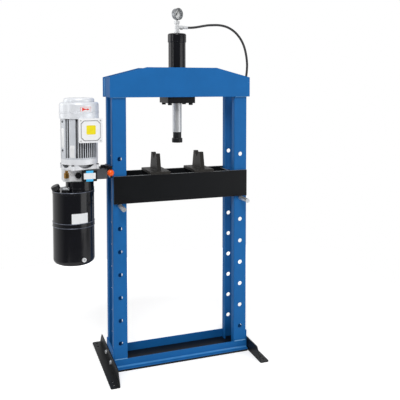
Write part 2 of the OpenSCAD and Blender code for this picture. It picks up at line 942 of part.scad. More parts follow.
// Drawn steel tank with a rounded bottom, a band round its middle and a drain boss
module oil_tank() {
    r = tank_d / 2;
    color(black) difference() {
        union() {
            translate([tank_x, unit_y, tank_z]) rotate_extrude() {
                difference() {
                    square([r, tank_h]);
                    translate([r, 0]) mirror([1, 0]) corner_waste(tank_round);
                }
                translate([0, tank_h * 0.53]) square([r + 1.5, tank_band]);
                translate([0, tank_h - 6]) square([r + 1.5, 6]);
            }
            translate([tank_x, unit_y, drain_z]) rotate([0, 0, drain_angle]) {
                bar_x(drain_boss_d, r + drain_reach);
            }
        }
        translate([tank_x, unit_y, tank_z]) rotate_extrude() difference() {
            translate([0, tank_t]) square([r - tank_t, tank_h]);
            translate([r - tank_t, tank_t]) mirror([1, 0]) corner_waste(tank_round - tank_t);
        }
        translate([tank_x, unit_y, drain_z]) rotate([0, 0, drain_angle]) {
            bar_x(drain_d + 0.2, r + drain_reach + eps);
        }
    }
}

// Place on the filler neck's tilted axis, h above the lid
module at_filler(h) {
    translate([tank_x, unit_y, tank_top + lid_t]) rotate([0, 0, filler_angle]) translate([filler_r, 0, 0]) {
        rotate([0, filler_tilt, 0]) translate([0, 0, h]) children();
    }
}

// Lid of the tank with the neck under the manifold and the filler's neck
module tank_lid() {
    r = tank_d / 2;
    color(black) difference() {
        union() {
            translate([tank_x, unit_y, tank_top]) rotate_extrude() difference() {
                square([r + 1.5, lid_t]);
                translate([r + 1.5, lid_t]) rotate(180) corner_waste(5);
            }
            translate([unit_x, unit_y, tank_top + lid_t - eps]) cylinder(d = neck_d, h = neck_h + eps);
            translate([unit_x, unit_y, tank_top + lid_t - eps]) cylinder(d = neck_d + 4, h = neck_ring + eps);
            intersection() {
                at_filler(-20) cylinder(d = filler_neck_d, h = 20 + filler_neck_h);
                translate([tank_x - r, unit_y - r, tank_top]) cube([2 * r, 2 * r, lid_t + 2 * filler_neck_h]);
            }
        }
        translate([unit_x, unit_y, tank_top - eps]) cylinder(d = neck_d - 48, h = lid_t + neck_h + 2 * eps);
        at_filler(-30) cylinder(d = filler_neck_d - 8, h = 40 + filler_neck_h);
    }
}

// Filler and breather cap with finger scallops round its rim
module filler_cap() {
    scallops = 14;
    color(black) at_filler(filler_cap_lift) difference() {
        rotate_extrude() difference() {
            square([filler_cap_d / 2, filler_cap_h]);
            translate([filler_cap_d / 2, filler_cap_h]) rotate(180) corner_waste(5);
        }
        translate([0, 0, -eps]) {
            cylinder(d = filler_neck_d + 2 * seat_gap, h = filler_neck_h - filler_cap_lift + seat_gap + eps);
        }
        for (i = [0 : scallops - 1]) {
            rotate(360 * i / scallops) translate([filler_cap_d / 2 + 2.2, 0, -eps]) {
                cylinder(d = 7, h = filler_cap_h + 2 * eps);
            }
        }
    }
}

module drain_plug() {
    r = tank_d / 2 + drain_reach;
    color(steel) translate([tank_x, unit_y, drain_z]) rotate([0, 0, drain_angle]) {
        translate([r - 14, 0, 0]) bar_x(drain_d, 14);
        translate([r, 0, 0]) rotate([0, 90, 0]) difference() {
            cylinder(d = drain_d * 1.4, h = 8);
            translate([0, 0, 3]) hex(drain_d * 0.6, 5 + eps);
        }
    }
}

// Gear pump under the manifold, its suction pipe and the strainer near the tank's bottom
module suction_pipe() {
    strainer_z = tank_z + 40;
    pump_z = manifold_z - pump_h;
    color(steel) {
        translate([unit_x, unit_y, pump_z]) {
            translate([-pump_w / 2, -pump_w / 2, 0]) linear_extrude(pump_h) rounded_rect(pump_w, pump_w, 12);
        }
        translate([unit_x, unit_y, strainer_z + 50]) cylinder(d = 18, h = pump_z - strainer_z - 50 + eps);
        translate([unit_x, unit_y, strainer_z]) cylinder(d = 46, h = 52);
    }
}

// Cast manifold with a round plug and a hex plug on its front
module manifold() {
    w = manifold_right - manifold_left;
    color(alloy) difference() {
        union() {
            translate([manifold_left, manifold_front, manifold_z]) linear_extrude(manifold_h) {
                rounded_rect(w, manifold_d, 8);
            }
            translate([manifold_left + 73, manifold_front - 9, manifold_z + 30]) bar_y(28, 10);
            translate([manifold_left + 46, manifold_front - 5, manifold_z + 40]) rotate([-90, 0, 0]) {
                hex(16, 6);
            }
        }
        for (x = [manifold_left + 40, manifold_right - 30]) {
            translate([x, manifold_back - 20, bracket_z + bracket_h / 2]) {
                bar_y(bracket_bolt_d + 0.2, 20 + eps);
            }
        }
        translate([check_x, manifold_front - eps, check_z]) bar_y(check_d + 0.2, check_depth + eps);
    }
}

// Brass check valve screwed into the manifold's front
module check_valve() {
    color(brass) translate([check_x, manifold_front, check_z]) {
        translate([0, -check_reach, -13]) hex(22, 26);
        translate([0, -check_reach, 12]) cylinder(d = 15, h = 13);
        translate([0, -check_reach, 0]) bar_y(check_d, check_reach + check_depth - 1);
    }
}

// Solenoid coil of the unloading valve, in front of the manifold
module valve_coil() {
    color(black) translate([coil_x, manifold_front - coil_d, manifold_z + 3]) {
        linear_extrude(coil_h) rounded_rect(coil_w, coil_d, 8);
    }
}

// Hand valve at the right of the manifold
module valve_body() {
    w = valve_right - manifold_right;
    color("#4a4d52") difference() {
        union() {
            translate([manifold_right, lever_y - valve_d / 2, valve_z]) linear_extrude(valve_h - 6) {
                square([w / 2, valve_d]);
                translate([w / 2 - 10, 0]) rounded_rect(w / 2 + 10, valve_d, 8);
            }
            translate([lever_x, lever_y, valve_z + valve_h - 6 - eps]) {
                cylinder(d = lever_hub_d + 4, h = 6 + eps);
            }
        }
        translate([lever_x, lever_y, valve_z + valve_h - lever_pin_h - 2]) {
            cylinder(d = lever_pin_d + 2 * run_gap, h = lever_pin_h + 2 + eps);
        }
    }
}

// Valve lever: pivot pin, hub, arm and a stud under the arm's end
module valve_lever() {
    color(black) translate([lever_x, lever_y, lever_z]) rotate(lever_turn) {
        linear_extrude(lever_t) {
            circle(d = lever_hub_d);
            translate([0, -lever_w / 2]) square([lever_len, lever_w]);
            translate([lever_len, 0]) circle(d = lever_w + 4);
        }
        translate([0, 0, -lever_pin_h]) cylinder(d = lever_pin_d, h = lever_pin_h + eps);
        translate([lever_len, 0, -knob_gap - knob_stud]) {
            cylinder(d = knob_stud_d, h = knob_gap + knob_stud + eps);
        }
    }
}

// Ball knob screwed on the lever's stud
module lever_knob() {
    color("#ff5a00") translate([lever_x, lever_y, lever_z]) rotate(lever_turn) {
        translate([lever_len, 0, -knob_gap]) difference() {
            translate([0, 0, -knob_d / 2]) sphere(d = knob_d);
            translate([0, 0, -knob_stud - run_gap]) {
                cylinder(d = knob_stud_d + 2 * run_gap, h = knob_stud + eps);
            }
        }
    }
}

// Drive-end flange: a round shoulder over a square foot with arched sides and a lug at each corner
module motor_flange() {
    shoulder = flange_h / 2;
    half = fin_r - 16;
    round = 40;
    lug_r = half * sqrt(2) - 15;
    arch_r = 58;
    arch_dip = 21;
    arch_depth = 24;
    color(alloy) translate([unit_x, unit_y, flange_z]) rotate(flange_turn) difference() {
        union() {
            difference() {
                linear_extrude(shoulder + eps) translate([-half, -half]) rounded_rect(2 * half, 2 * half, round);
                for (a = [0 : 90 : 270]) {
                    rotate(a) translate([0, half - arch_depth, shoulder + arch_r - arch_dip]) {
                        bar_y(2 * arch_r, arch_depth + eps);
                    }
                }
            }
            translate([0, 0, shoulder]) cylinder(r = fin_r, h = flange_h - shoulder);
            for (a = [45 : 90 : 315]) {
                rotate(a) translate([lug_r, 0, 0]) cylinder(d = 20, h = 22);
            }
        }
        translate([0, 0, -eps]) cylinder(r = cavity_r, h = cavity_h + eps);
        cylinder(d = shaft_d + 2 * run_gap, h = flange_h + eps);
    }
}

// Whether the place for a fin at angle a is clear of the smooth pads, each an angle and a half width
function fin_free(a) = min([for (p = motor_pads) abs(((a - p[0] + 540) % 360) - 180) - p[1]]) > 0;

// Section of the housing: a round core, thin fins and smooth pads
module housing_section() {
    circle(r = fin_root_r);
    intersection() {
        circle(r = fin_r);
        union() {
            for (i = [0 : fin_count - 1]) {
                if (fin_free(360 * i / fin_count)) {
                    rotate(360 * i / fin_count) translate([fin_root_r - 6, -fin_t / 2]) {
                        square([fin_r, fin_t]);
                    }
                }
            }
            for (p = motor_pads) {
                half = fin_r * sin(p[1] - 2.5);
                rotate(p[0]) translate([fin_root_r - 6, -half]) square([fin_r, 2 * half]);
            }
        }
    }
}

module motor_housing() {
    color(alloy) difference() {
        union() {
            translate([unit_x, unit_y, motor_z]) linear_extrude(motor_h - bell_h + eps) housing_section();
            translate([unit_x, unit_y, motor_top - bell_h]) cylinder(r = bell_r, h = bell_h);
            translate([unit_x, unit_y, motor_z]) cylinder(r = fin_r - 1, h = 8);
        }
        translate([unit_x, unit_y, motor_z - eps]) cylinder(d = shaft_d + 2 * run_gap, h = motor_h + 2 * eps);
    }
}

// Outline on the terminal box's cover: a rectangle with cut corners, inset from the cover's edge
module box_outline(inset) {
    cut = inset + 15;
    right = box_w - inset;
    top = box_h - inset;
    polygon([
        [cut, inset], [box_w - cut, inset], [right, cut], [right, box_h - cut],
        [box_w - cut, top], [cut, top], [inset, box_h - cut], [inset, cut]
    ]);
}

// Terminal box on the housing's front: a cover with a groove round its raised panel, and corner screws
module terminal_box() {
    cover_t = 7;
    face = unit_y - box_front;
    color(alloy) {
        difference() {
            translate([box_x - box_w / 2 + 3, face + cover_t, box_z + 3]) {
                cube([box_w - 6, box_front - cover_t, box_h - 6]);
            }
            translate([unit_x, unit_y, box_z - eps]) cylinder(r = fin_r + 0.1, h = box_h + 2 * eps);
            translate([unit_x, unit_y, motor_top - bell_h - 2]) cylinder(r = cover_r + seat_gap, h = box_h);
            translate([box_x - box_w, unit_y - 40, box_z - eps]) {
                cube([2 * box_w, 2 * box_front, box_h + 2 * eps]);
            }
        }
        translate([box_x - box_w / 2, face + cover_t, box_z]) rotate([90, 0, 0]) {
            difference() {
                linear_extrude(cover_t) rounded_rect(box_w, box_h, 6);
                translate([0, 0, cover_t - box_groove]) linear_extrude(box_groove + eps) {
                    box_outline(box_inset - box_groove);
                }
            }
            linear_extrude(cover_t + box_panel) box_outline(box_inset);
        }
        for (x = [10, box_w - 10], z = [10, box_h - 10]) {
            translate([box_x - box_w / 2 + x, face - 2.5, box_z + z]) bar_y(8, 3.5);
        }
    }
}

// Half section of the fan cover, inset from its outside: a drum under a raised cap, both with rounded edges
module cover_section(inset) {
    h = fan_cover_h + bell_h - inset;
    round = cover_round - inset;
    difference() {
        square([cover_r - inset, h - cover_rise]);
        translate([cover_r - inset, h - cover_rise]) rotate(180) corner_waste(round);
    }
    difference() {
        square([cover_cap_r - inset, h]);
        translate([cover_cap_r - inset, h]) rotate(180) corner_waste(round);
    }
}

// Pressed fan cover: a drum with a raised bead, and rings of slots in its cap
module fan_cover() {
    color(alloy) difference() {
        translate([unit_x, unit_y, motor_top - bell_h]) rotate_extrude() {
            difference() {
                cover_section(0);
                cover_section(cover_wall);
            }
            translate([cover_r - eps, (fan_cover_h + bell_h) * 0.32]) square([eps + 1, 4]);
        }
        for (ring = [22, 36, 50], i = [0 : 5]) {
            translate([unit_x, unit_y, fan_top - cover_wall - eps]) rotate(60 * i + ring) {
                rotate_extrude(angle = 48) translate([ring, 0]) square([7, cover_wall + 2 * eps]);
            }
        }
    }
}

// Shaft with the cooling fan at its top and the pump coupling at its foot
module motor_rotor() {
    fan_z = motor_top + 24;
    fan_h = 38;
    blades = 8;
    color("#6d7278") translate([unit_x, unit_y, 0]) {
        translate([0, 0, flange_z + 4]) cylinder(d = shaft_d, h = fan_z + fan_h - flange_z);
        translate([0, 0, flange_z + 4]) cylinder(r = cavity_r - 8, h = cavity_h - 8);
        translate([0, 0, fan_z]) cylinder(d = shaft_d + 26, h = fan_h);
        translate([0, 0, fan_z]) cylinder(d = 2 * fin_r - 24, h = 3);
        for (i = [0 : blades - 1]) {
            rotate(360 * i / blades) translate([shaft_d / 2 + 8, -1.5, fan_z]) {
                cube([fin_r - shaft_d / 2 - 22, 3, fan_h]);
            }
        }
    }
}

front_left_channel();
back_left_channel();
front_right_channel();
back_right_channel();
base_pan();
base_front_angle();
base_back_angle();
left_side_plate();
right_side_plate();
left_foot();
right_foot();
foot_bolts();
crosshead_front_plate();
crosshead_back_plate();
crosshead_left_end();
crosshead_right_end();
cylinder_seat_plate();
cylinder_tube();
cylinder_cap();
gland_block();
gland_bolts();
rod_bush();
rod_wiper();
ram_rod();
ram_piston();
piston_seal();
ram_nose();
bed_front_beam();
bed_back_beam();
bed_spacers();
left_v_block();
right_v_block();
left_bed_pin();
right_bed_pin();
gauge_tee();
gauge_case();
gauge_dial();
gauge_needle();
gauge_glass();
hose_fitting();
pressure_hose();
hose_elbow();
unit_bracket();
unit_bolts();
oil_tank();
tank_lid();
filler_cap();
drain_plug();
suction_pipe();
manifold();
check_valve();
valve_coil();
valve_body();
valve_lever();
lever_knob();
motor_flange();
motor_housing();
terminal_box();
fan_cover();
motor_rotor();
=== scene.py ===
"""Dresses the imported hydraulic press: camera, light, finishes and the fine pieces."""

import logging
import math
from dataclasses import dataclass, replace
from enum import Enum
from typing import Any, Callable

import bmesh
import bpy
import numpy as np
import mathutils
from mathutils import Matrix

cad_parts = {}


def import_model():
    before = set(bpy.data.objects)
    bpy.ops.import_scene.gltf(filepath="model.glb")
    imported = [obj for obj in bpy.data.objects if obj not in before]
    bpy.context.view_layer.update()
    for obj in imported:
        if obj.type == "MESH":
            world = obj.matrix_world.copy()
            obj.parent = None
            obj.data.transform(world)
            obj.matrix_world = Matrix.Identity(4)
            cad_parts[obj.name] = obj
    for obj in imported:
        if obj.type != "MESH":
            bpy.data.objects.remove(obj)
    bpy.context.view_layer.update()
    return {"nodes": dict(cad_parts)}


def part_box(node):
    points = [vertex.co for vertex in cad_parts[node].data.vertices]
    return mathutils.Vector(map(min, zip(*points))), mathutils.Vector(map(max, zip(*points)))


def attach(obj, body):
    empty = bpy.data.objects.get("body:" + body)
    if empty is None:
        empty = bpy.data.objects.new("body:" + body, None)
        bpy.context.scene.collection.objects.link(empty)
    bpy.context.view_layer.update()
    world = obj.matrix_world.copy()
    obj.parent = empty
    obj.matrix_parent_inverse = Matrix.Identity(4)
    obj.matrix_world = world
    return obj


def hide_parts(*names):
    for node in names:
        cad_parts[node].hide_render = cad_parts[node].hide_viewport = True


LOG = logging.getLogger("press")
MM = 0.001
SENSOR_MM = 36.0
CLIP_M = 100.0
SHARP_DEG = 35.0
MERGE_MM = 0.002
WHITE = (1.0, 1.0, 1.0, 1.0)

Pair = tuple[float, float]
Vector = tuple[float, float, float]
Placer = Callable[[np.ndarray, np.ndarray, np.ndarray], np.ndarray]
Socket = bpy.types.NodeSocket
Tree = bpy.types.NodeTree

RIGHT: Vector = (1.0, 0.0, 0.0)
BACK: Vector = (0.0, 1.0, 0.0)
UP: Vector = (0.0, 0.0, 1.0)
# A direction that no turned piece's axis has.
ASKEW: Vector = (0.31, 0.95, 0.05)


def linear(code: str) -> tuple[float, float, float, float]:
    """Turns an sRGB hex colour to linear light.

    Each channel is the sRGB curve undone: a straight foot, then a power of 2.4.

    Args:
        code: colour as "#rrggbb".

    Returns:
        Linear red, green, blue and a full alpha.
    """
    srgb = np.array([int(code[i:i + 2], 16) for i in (1, 3, 5)]) / 255
    light = np.where(srgb <= 0.04045, srgb / 12.92, ((srgb + 0.055) / 1.055) ** 2.4)
    return (float(light[0]), float(light[1]), float(light[2]), 1.0)


def fresh_tree(owner: bpy.types.Material | bpy.types.World) -> Tree:
    """Gives the emptied node tree of a material or a world."""
    owner.use_nodes = True
    owner.node_tree.nodes.clear()
    return owner.node_tree


def add_node(tree: Tree, kind: str, sockets: dict[Any, Any] | None = None, **settings: Any) -> bpy.types.Node:
    """Adds a shader node with its settings, values and links.

    Args:
        tree: node tree that gets the node.
        kind: Blender's name for the node's type.
        sockets: input name or index to a value, or to an output socket that is linked to it.
        settings: the node's own properties.

    Returns:
        The new node.
    """
    made = tree.nodes.new(kind)
    for name, value in settings.items():
        setattr(made, name, value)
    for name, value in (sockets or {}).items():
        if isinstance(value, Socket):
            tree.links.new(value, made.inputs[name])
        else:
            made.inputs[name].default_value = value
    return made


def mapped(tree: Tree, value: Socket, start: Pair, end: Pair) -> Socket:
    """Maps a value straight from one range to another and holds it at the ends.

    Args:
        tree: node tree that gets the node.
        value: socket of the value.
        start: range that the value has.
        end: range that it is brought to.

    Returns:
        Socket of the mapped value.
    """
    return add_node(tree, "ShaderNodeMapRange", {
        "Value": value, "From Min": start[0], "From Max": start[1], "To Min": end[0],
        "To Max": end[1]}).outputs[0]


def combined(tree: Tree, operation: str, first: Socket, second: Socket, **settings: Any) -> Socket:
    """Gives the socket of two values put together by one operation."""
    return add_node(tree, "ShaderNodeMath", {0: first, 1: second}, operation=operation, **settings).outputs[0]


def scaled(tree: Tree, colour: Any, factor: Socket) -> Socket:
    """Gives the socket of a colour times a factor."""
    return add_node(tree, "ShaderNodeVectorMath", {0: colour, "Scale": factor}, operation="SCALE").outputs[0]


def blended(tree: Tree, share: Socket, colour: Socket, over: str) -> Socket:
    """Gives the socket of a colour with a share of an sRGB hex colour over it."""
    mix = add_node(tree, "ShaderNodeMix", {0: share, 6: colour, 7: linear(over)}, data_type="RGBA")
    return mix.outputs[2]


def add_object(name: str, data: bpy.types.ID) -> bpy.types.Object:
    """Puts an object with its data in the scene."""
    made = bpy.data.objects.new(name, data)
    bpy.context.scene.collection.objects.link(made)
    return made


class Grain(Enum):
    """Direction of a surface's fine pattern, as its squeeze along X, Y and Z."""

    EVEN = (1.0, 1.0, 1.0)
    ALONG_X = (0.05, 1.0, 1.0)
    ALONG_Z = (1.0, 1.0, 0.05)
    TURNED = (0.12, 0.12, 1.0)


@dataclass(frozen=True)
class Finish:
    """A finish: its colour, gloss, the patterns that its making left, and any painted shade and highlight."""

    name: str  # common name of the material
    colour: str  # sRGB hex of the clean surface
    rough: float  # roughness, 0 mirror to 1 matt
    metallic: float = 0.0  # 1 for bare metal
    coat: float = 0.0  # weight of the clear gloss over it
    gloss: float = 0.5  # specular level of a paint or plastic
    grain: Grain = Grain.EVEN  # direction of the fine pattern
    grain_mm: float = 2.5  # size of the fine pattern
    bump_mm: float = 0.02  # height of the fine pattern
    patch_mm: float = 140.0  # size of the broad changes of tone
    tone: float = 0.06  # share by which the tone changes
    edge_mm: float = 1.2  # width of the rounded edges and of their paler band
    edge_colour: str = ""  # sRGB hex of the paler edges, worn on most finishes and a painted highlight on the blue enamel, or empty for none
    wear_and_highlight: float = 0.5  # share of the edge that is paler
    hollow_shade: float = 0.0  # share by which hollows are darkened: painted shade
    hollow_shade_mm: float = 22.0  # reach of the hollows that get the painted shade
    top_highlight_colour: str = ""  # sRGB hex of the painted highlight on upward faces, or empty for none

    def material(self) -> bpy.types.Material:
        """Builds the material once and gives the same one afterwards.

        Fine noise, drawn out along the grain, sets bump and roughness. A bevelled normal rounds the edges.

        Returns:
            The material.
        """
        made = bpy.data.materials.get(self.name)
        if made is not None:
            return made
        made = bpy.data.materials.new(self.name)
        tree = fresh_tree(made)
        place = add_node(tree, "ShaderNodeTexCoord").outputs["Object"]
        drawn = add_node(tree, "ShaderNodeMapping", {"Vector": place, "Scale": self.grain.value})
        fine = add_node(tree, "ShaderNodeTexNoise", {
            "Vector": drawn.outputs[0], "Scale": 1 / (self.grain_mm * MM), "Detail": 2.0}).outputs[0]
        soft = add_node(tree, "ShaderNodeBevel", {"Radius": self.edge_mm * MM}, samples=4).outputs[0]
        polish = mapped(tree, fine, (0.25, 0.75), (max(self.rough - 0.05, 0.02), min(self.rough + 0.07, 1.0)))
        bump = add_node(tree, "ShaderNodeBump", {
            "Height": fine, "Distance": self.bump_mm * MM, "Strength": 0.6, "Normal": soft})
        shader = add_node(tree, "ShaderNodeBsdfPrincipled", {
            "Base Color": self.coloured(tree, place, soft), "Roughness": polish, "Normal": bump.outputs[0],
            "Metallic": self.metallic, "Coat Weight": self.coat, "Coat Roughness": 0.08,
            "Specular IOR Level": self.gloss})
        add_node(tree, "ShaderNodeOutputMaterial", {"Surface": shader.outputs[0]})
        return made

    def coloured(self, tree: Tree, place: Socket, soft: Socket) -> Socket:
        """Builds the colour.

        Broad noise shifts the tone by the share given. Faces whose normal points up turn to another colour, a
        painted highlight; hollows darken by how little open space they see, a painted shade; and edges turn
        paler, patch by patch, where the bevelled normal leaves the true one: worn on most finishes, a painted
        highlight on the blue enamel.

        Args:
            tree: node tree of the material.
            place: socket of the place on the object.
            soft: socket of the bevelled normal.

        Returns:
            Socket of the colour.
        """
        broad = add_node(tree, "ShaderNodeTexNoise", {
            "Vector": place, "Scale": 1 / (self.patch_mm * MM), "Detail": 4.0, "Roughness": 0.6}).outputs[0]
        level = mapped(tree, broad, (0.3, 0.7), (1 - self.tone, 1 + self.tone))
        colour = scaled(tree, linear(self.colour)[:3], level)
        true = add_node(tree, "ShaderNodeNewGeometry").outputs["Normal"]
        # Painted highlight: upward faces turn to the top highlight colour.
        if self.top_highlight_colour:
            rise = add_node(tree, "ShaderNodeSeparateXYZ", {0: true}).outputs["Z"]
            colour = blended(tree, mapped(tree, rise, (0.9, 1.0), (0.0, 0.8)), colour, self.top_highlight_colour)
        # Painted shade: the colour darkens where ambient occlusion finds little open space.
        if self.hollow_shade:
            space = add_node(tree, "ShaderNodeAmbientOcclusion", {"Distance": self.hollow_shade_mm * MM}, samples=8,
                             only_local=True).outputs["AO"]
            colour = scaled(tree, colour, mapped(tree, space, (0.2, 0.8), (1 - self.hollow_shade, 1.0)))
        # Paler edges: wear on most finishes, a painted highlight on the blue enamel.
        if self.edge_colour:
            bend = add_node(tree, "ShaderNodeVectorMath", {0: soft, 1: true}, operation="DOT_PRODUCT")
            edge = mapped(tree, bend.outputs["Value"], (0.99, 0.86), (0.0, self.wear_and_highlight))
            colour = blended(tree, combined(tree, "MULTIPLY", edge, broad), colour, self.edge_colour)
        return colour


@dataclass(frozen=True)
class GaugeGlass:
    """Flat float glass over the dial: clear, with a faint reflection and nothing else."""

    name: str = "float glass"  # common name of the material
    rough: Pair = (0.02, 0.06)  # roughness where it is clean and where it is dusty
    dust_mm: float = 9.0  # size of the dusty patches
    shine: Pair = (0.02, 0.5)  # share that is mirrored where it faces the eye and where it is turned away

    def material(self) -> bpy.types.Material:
        """Builds a clear pane that lets straight light through, with more gloss the more it is turned away.

        Returns:
            The material.
        """
        made = bpy.data.materials.new(self.name)
        tree = fresh_tree(made)
        place = add_node(tree, "ShaderNodeTexCoord").outputs["Object"]
        dust = add_node(tree, "ShaderNodeTexNoise", {"Vector": place, "Scale": 1 / (self.dust_mm * MM)})
        haze = mapped(tree, dust.outputs[0], (0.3, 0.7), self.rough)
        clear = add_node(tree, "ShaderNodeBsdfTransparent", {"Color": (0.99, 0.99, 0.99, 1.0)})
        gloss = add_node(tree, "ShaderNodeBsdfGlossy", {"Roughness": haze})
        away = add_node(tree, "ShaderNodeLayerWeight", {"Blend": 0.5}).outputs["Facing"]
        share = mapped(tree, away, (0.4, 1.0), self.shine)
        mix = add_node(tree, "ShaderNodeMixShader", {0: share, 1: clear.outputs[0], 2: gloss.outputs[0]})
        add_node(tree, "ShaderNodeOutputMaterial", {"Surface": mix.outputs[0]})
        return made


# Blue stoving enamel: even satin gloss with a faint orange peel, its edges painted paler as a painted
# highlight.
BLUE_ENAMEL = Finish("blue stoving enamel", "#1966a9", 0.5, gloss=0.16, grain_mm=3.0,
                     bump_mm=0.03, tone=0.05, edge_mm=0.9, edge_colour="#4a8cc4", wear_and_highlight=0.2)
# The same enamel over a weld, painted paler than the plate as a painted highlight; the ripples catch lines of
# light.
WELD_ENAMEL = Finish("enamel over weld", "#6fa9d6", 0.24, coat=0.6, grain_mm=1.6, bump_mm=0.08,
                     tone=0.10)
# Enamel that ran thick into the root of the base angles: glossy, painted paler than the plate as a painted
# highlight along it.
ROOT_ENAMEL = Finish("enamel in the angle's root", "#3d88c8", 0.22, coat=0.5, gloss=0.4, grain_mm=4.0,
                     patch_mm=60.0, tone=0.08)
# Black satin enamel on plate: deep, a little grey where the light grazes, rubbed at the edges.
BLACK_ENAMEL = Finish("black satin enamel", "#0f1114", 0.42, gloss=0.25, grain_mm=3.0, bump_mm=0.03,
                      tone=0.12, edge_colour="#8b8f93", wear_and_highlight=0.9)
# The same enamel on the bed, whose upward faces are painted grey as a painted highlight.
BED_ENAMEL = replace(BLACK_ENAMEL, name="black enamel with painted top highlight", gloss=0.2, edge_colour="#9a9da0",
                     wear_and_highlight=1.0, top_highlight_colour="#85888b")
# Black enamel over a weld, glossier in its ripples.
WELD_BLACK = Finish("black enamel over weld", "#1d1f22", 0.3, gloss=0.3, grain_mm=1.6, bump_mm=0.08,
                    tone=0.10)
# Black gloss enamel on drawn tube and pressings: sharp soft-box reflections.
GLOSS_BLACK = Finish("black gloss enamel", "#0c0d13", 0.14, grain_mm=4.0, tone=0.10,
                     edge_colour="#6d7074")
# The same enamel on rolled beads, painted a cool grey as a painted highlight: a grey line with soft bright
# arcs.
BEAD_HIGHLIGHT_ENAMEL = Finish("gloss enamel with painted highlight on beads", "#6f7482", 0.24, metallic=0.5, grain_mm=2.0,
                       patch_mm=30.0, tone=0.3, edge_mm=0.5)
# Zinc-plated steel: bright, cool grey, slightly cloudy.
ZINC = Finish("zinc-plated steel", "#c3c6ca", 0.28, metallic=1.0, grain_mm=1.2, bump_mm=0.015,
              patch_mm=14.0, tone=0.08, edge_mm=0.6)
# Ground steel pin: grey with turning lines along the way it was ground.
GROUND_STEEL = Finish("ground steel bar", "#d3d5d7", 0.36, metallic=0.75, grain=Grain.ALONG_X,
                      grain_mm=1.0, patch_mm=30.0, tone=0.10, edge_mm=1.0)
# Hot-rolled steel, oiled: brown-black scale, brighter where it was machined.
DARK_STEEL = Finish("oiled hot-rolled steel", "#292725", 0.5, metallic=0.2, gloss=0.3, grain_mm=5.0,
                    bump_mm=0.06, patch_mm=40.0, tone=0.16, edge_colour="#a39d97", wear_and_highlight=0.9)
# Black oxide on turned steel: near black with an oily sheen.
BLACK_OXIDE = Finish("black oxide steel", "#1a1b1d", 0.36, gloss=0.35, grain=Grain.TURNED,
                     grain_mm=1.0, patch_mm=20.0, tone=0.12, edge_colour="#6f7174", wear_and_highlight=0.7)
# Hard chrome: a pale, softly bright plate with faint lines round the rod.
HARD_CHROME = Finish("hard chrome plate", "#d4d6d8", 0.34, metallic=0.6, grain=Grain.TURNED,
                     grain_mm=0.8, bump_mm=0.004, patch_mm=60.0, tone=0.03)
# Stainless pressing of the gauge: bright, softly brushed.
STAINLESS = Finish("polished stainless steel", "#a3a6a9", 0.3, metallic=1.0, grain_mm=1.0,
                   bump_mm=0.006, patch_mm=20.0, tone=0.04, edge_mm=0.8)
# Bright nickel plate on the gauge tee and the hose fittings: almost white, with soft dark lines of painted
# shade in its hollows.
NICKEL = Finish("satin nickel plate", "#eceef0", 0.36, metallic=0.6, grain=Grain.TURNED, grain_mm=0.9,
                bump_mm=0.01, patch_mm=14.0, tone=0.05, edge_mm=0.6, hollow_shade=0.5, hollow_shade_mm=6.0)
# Pale lacquer on the pressed terminal box: a smooth, cool white with grey painted shade only in its grooves.
BOX_LACQUER = Finish("pale lacquer on pressed box", "#f3f4f6", 0.38, gloss=0.4, grain_mm=1.5, bump_mm=0.01,
                     patch_mm=60.0, tone=0.02, edge_mm=1.0, edge_colour="#fbfcfd", hollow_shade=0.75,
                     hollow_shade_mm=8.0)
# Silver lacquer on cast aluminium: pale grey with a fine sparkle, and painted shade in its hollows.
SILVER_LACQUER = Finish("silver lacquer on aluminium", "#eef0f4", 0.34, metallic=0.15, grain_mm=1.5,
                        patch_mm=60.0, tone=0.04, edge_mm=1.0, edge_colour="#f4f6f8", wear_and_highlight=0.7,
                        hollow_shade=0.75)
# The same lacquer, thin on the cast housing: greyer, with painted shade in the gaps between the fins.
CAST_LACQUER = Finish("silver lacquer on cast housing", "#d5d9df", 0.36, metallic=0.15, grain_mm=1.5,
                      bump_mm=0.03, patch_mm=40.0, edge_mm=0.8, edge_colour="#f4f6f8", wear_and_highlight=0.8,
                      hollow_shade=0.95, hollow_shade_mm=18.0)
# Pressed sheet of the fan cover, lacquered silver: smooth, with the soft dark and bright bands of metal, and
# painted shade in the corners of its steps.
PRESSED_SILVER = Finish("silver lacquer on pressed sheet", "#f1f4f9", 0.34, metallic=0.25, grain_mm=3.0,
                        bump_mm=0.01, patch_mm=80.0, tone=0.03, edge_mm=1.0, hollow_shade=0.45, hollow_shade_mm=16.0)
# Milled aluminium block: bare, pale and cloudy with tool marks.
MILLED_ALLOY = Finish("milled aluminium block", "#eceef0", 0.42, metallic=0.25, grain=Grain.ALONG_X,
                      grain_mm=1.4, patch_mm=30.0, tone=0.14, edge_mm=0.8)
# Turned brass: warm yellow with lathe lines.
BRASS = Finish("turned brass", "#b08442", 0.28, metallic=1.0, grain=Grain.TURNED, grain_mm=1.0,
               bump_mm=0.01, patch_mm=12.0, tone=0.12, edge_mm=0.6)
# Cast iron valve body, phosphated: dark grey and matt, with sand-cast pits.
CAST_IRON = Finish("phosphated cast iron", "#5a5d62", 0.5, metallic=0.3, grain_mm=2.0, bump_mm=0.08,
                   patch_mm=25.0, tone=0.15, edge_colour="#8f9296")
# Glass-filled nylon: black, matt and finely textured by its mould.
BLACK_NYLON = Finish("black glass-filled nylon", "#121316", 0.5, gloss=0.2, grain_mm=0.9, bump_mm=0.03,
                     patch_mm=20.0, tone=0.10)
# Nitrile rubber: charcoal, matt, with a faint cloth mark from its wrapping.
RUBBER = Finish("wrapped nitrile rubber", "#3a3a3b", 0.55, gloss=0.35, grain_mm=1.2, bump_mm=0.08,
                patch_mm=40.0, tone=0.10)
# Phenolic ball: even orange with a glassy skin.
ORANGE_BALL = Finish("orange phenolic", "#ff5f00", 0.26, coat=0.15, grain_mm=4.0, bump_mm=0.005,
                     patch_mm=20.0, tone=0.04)
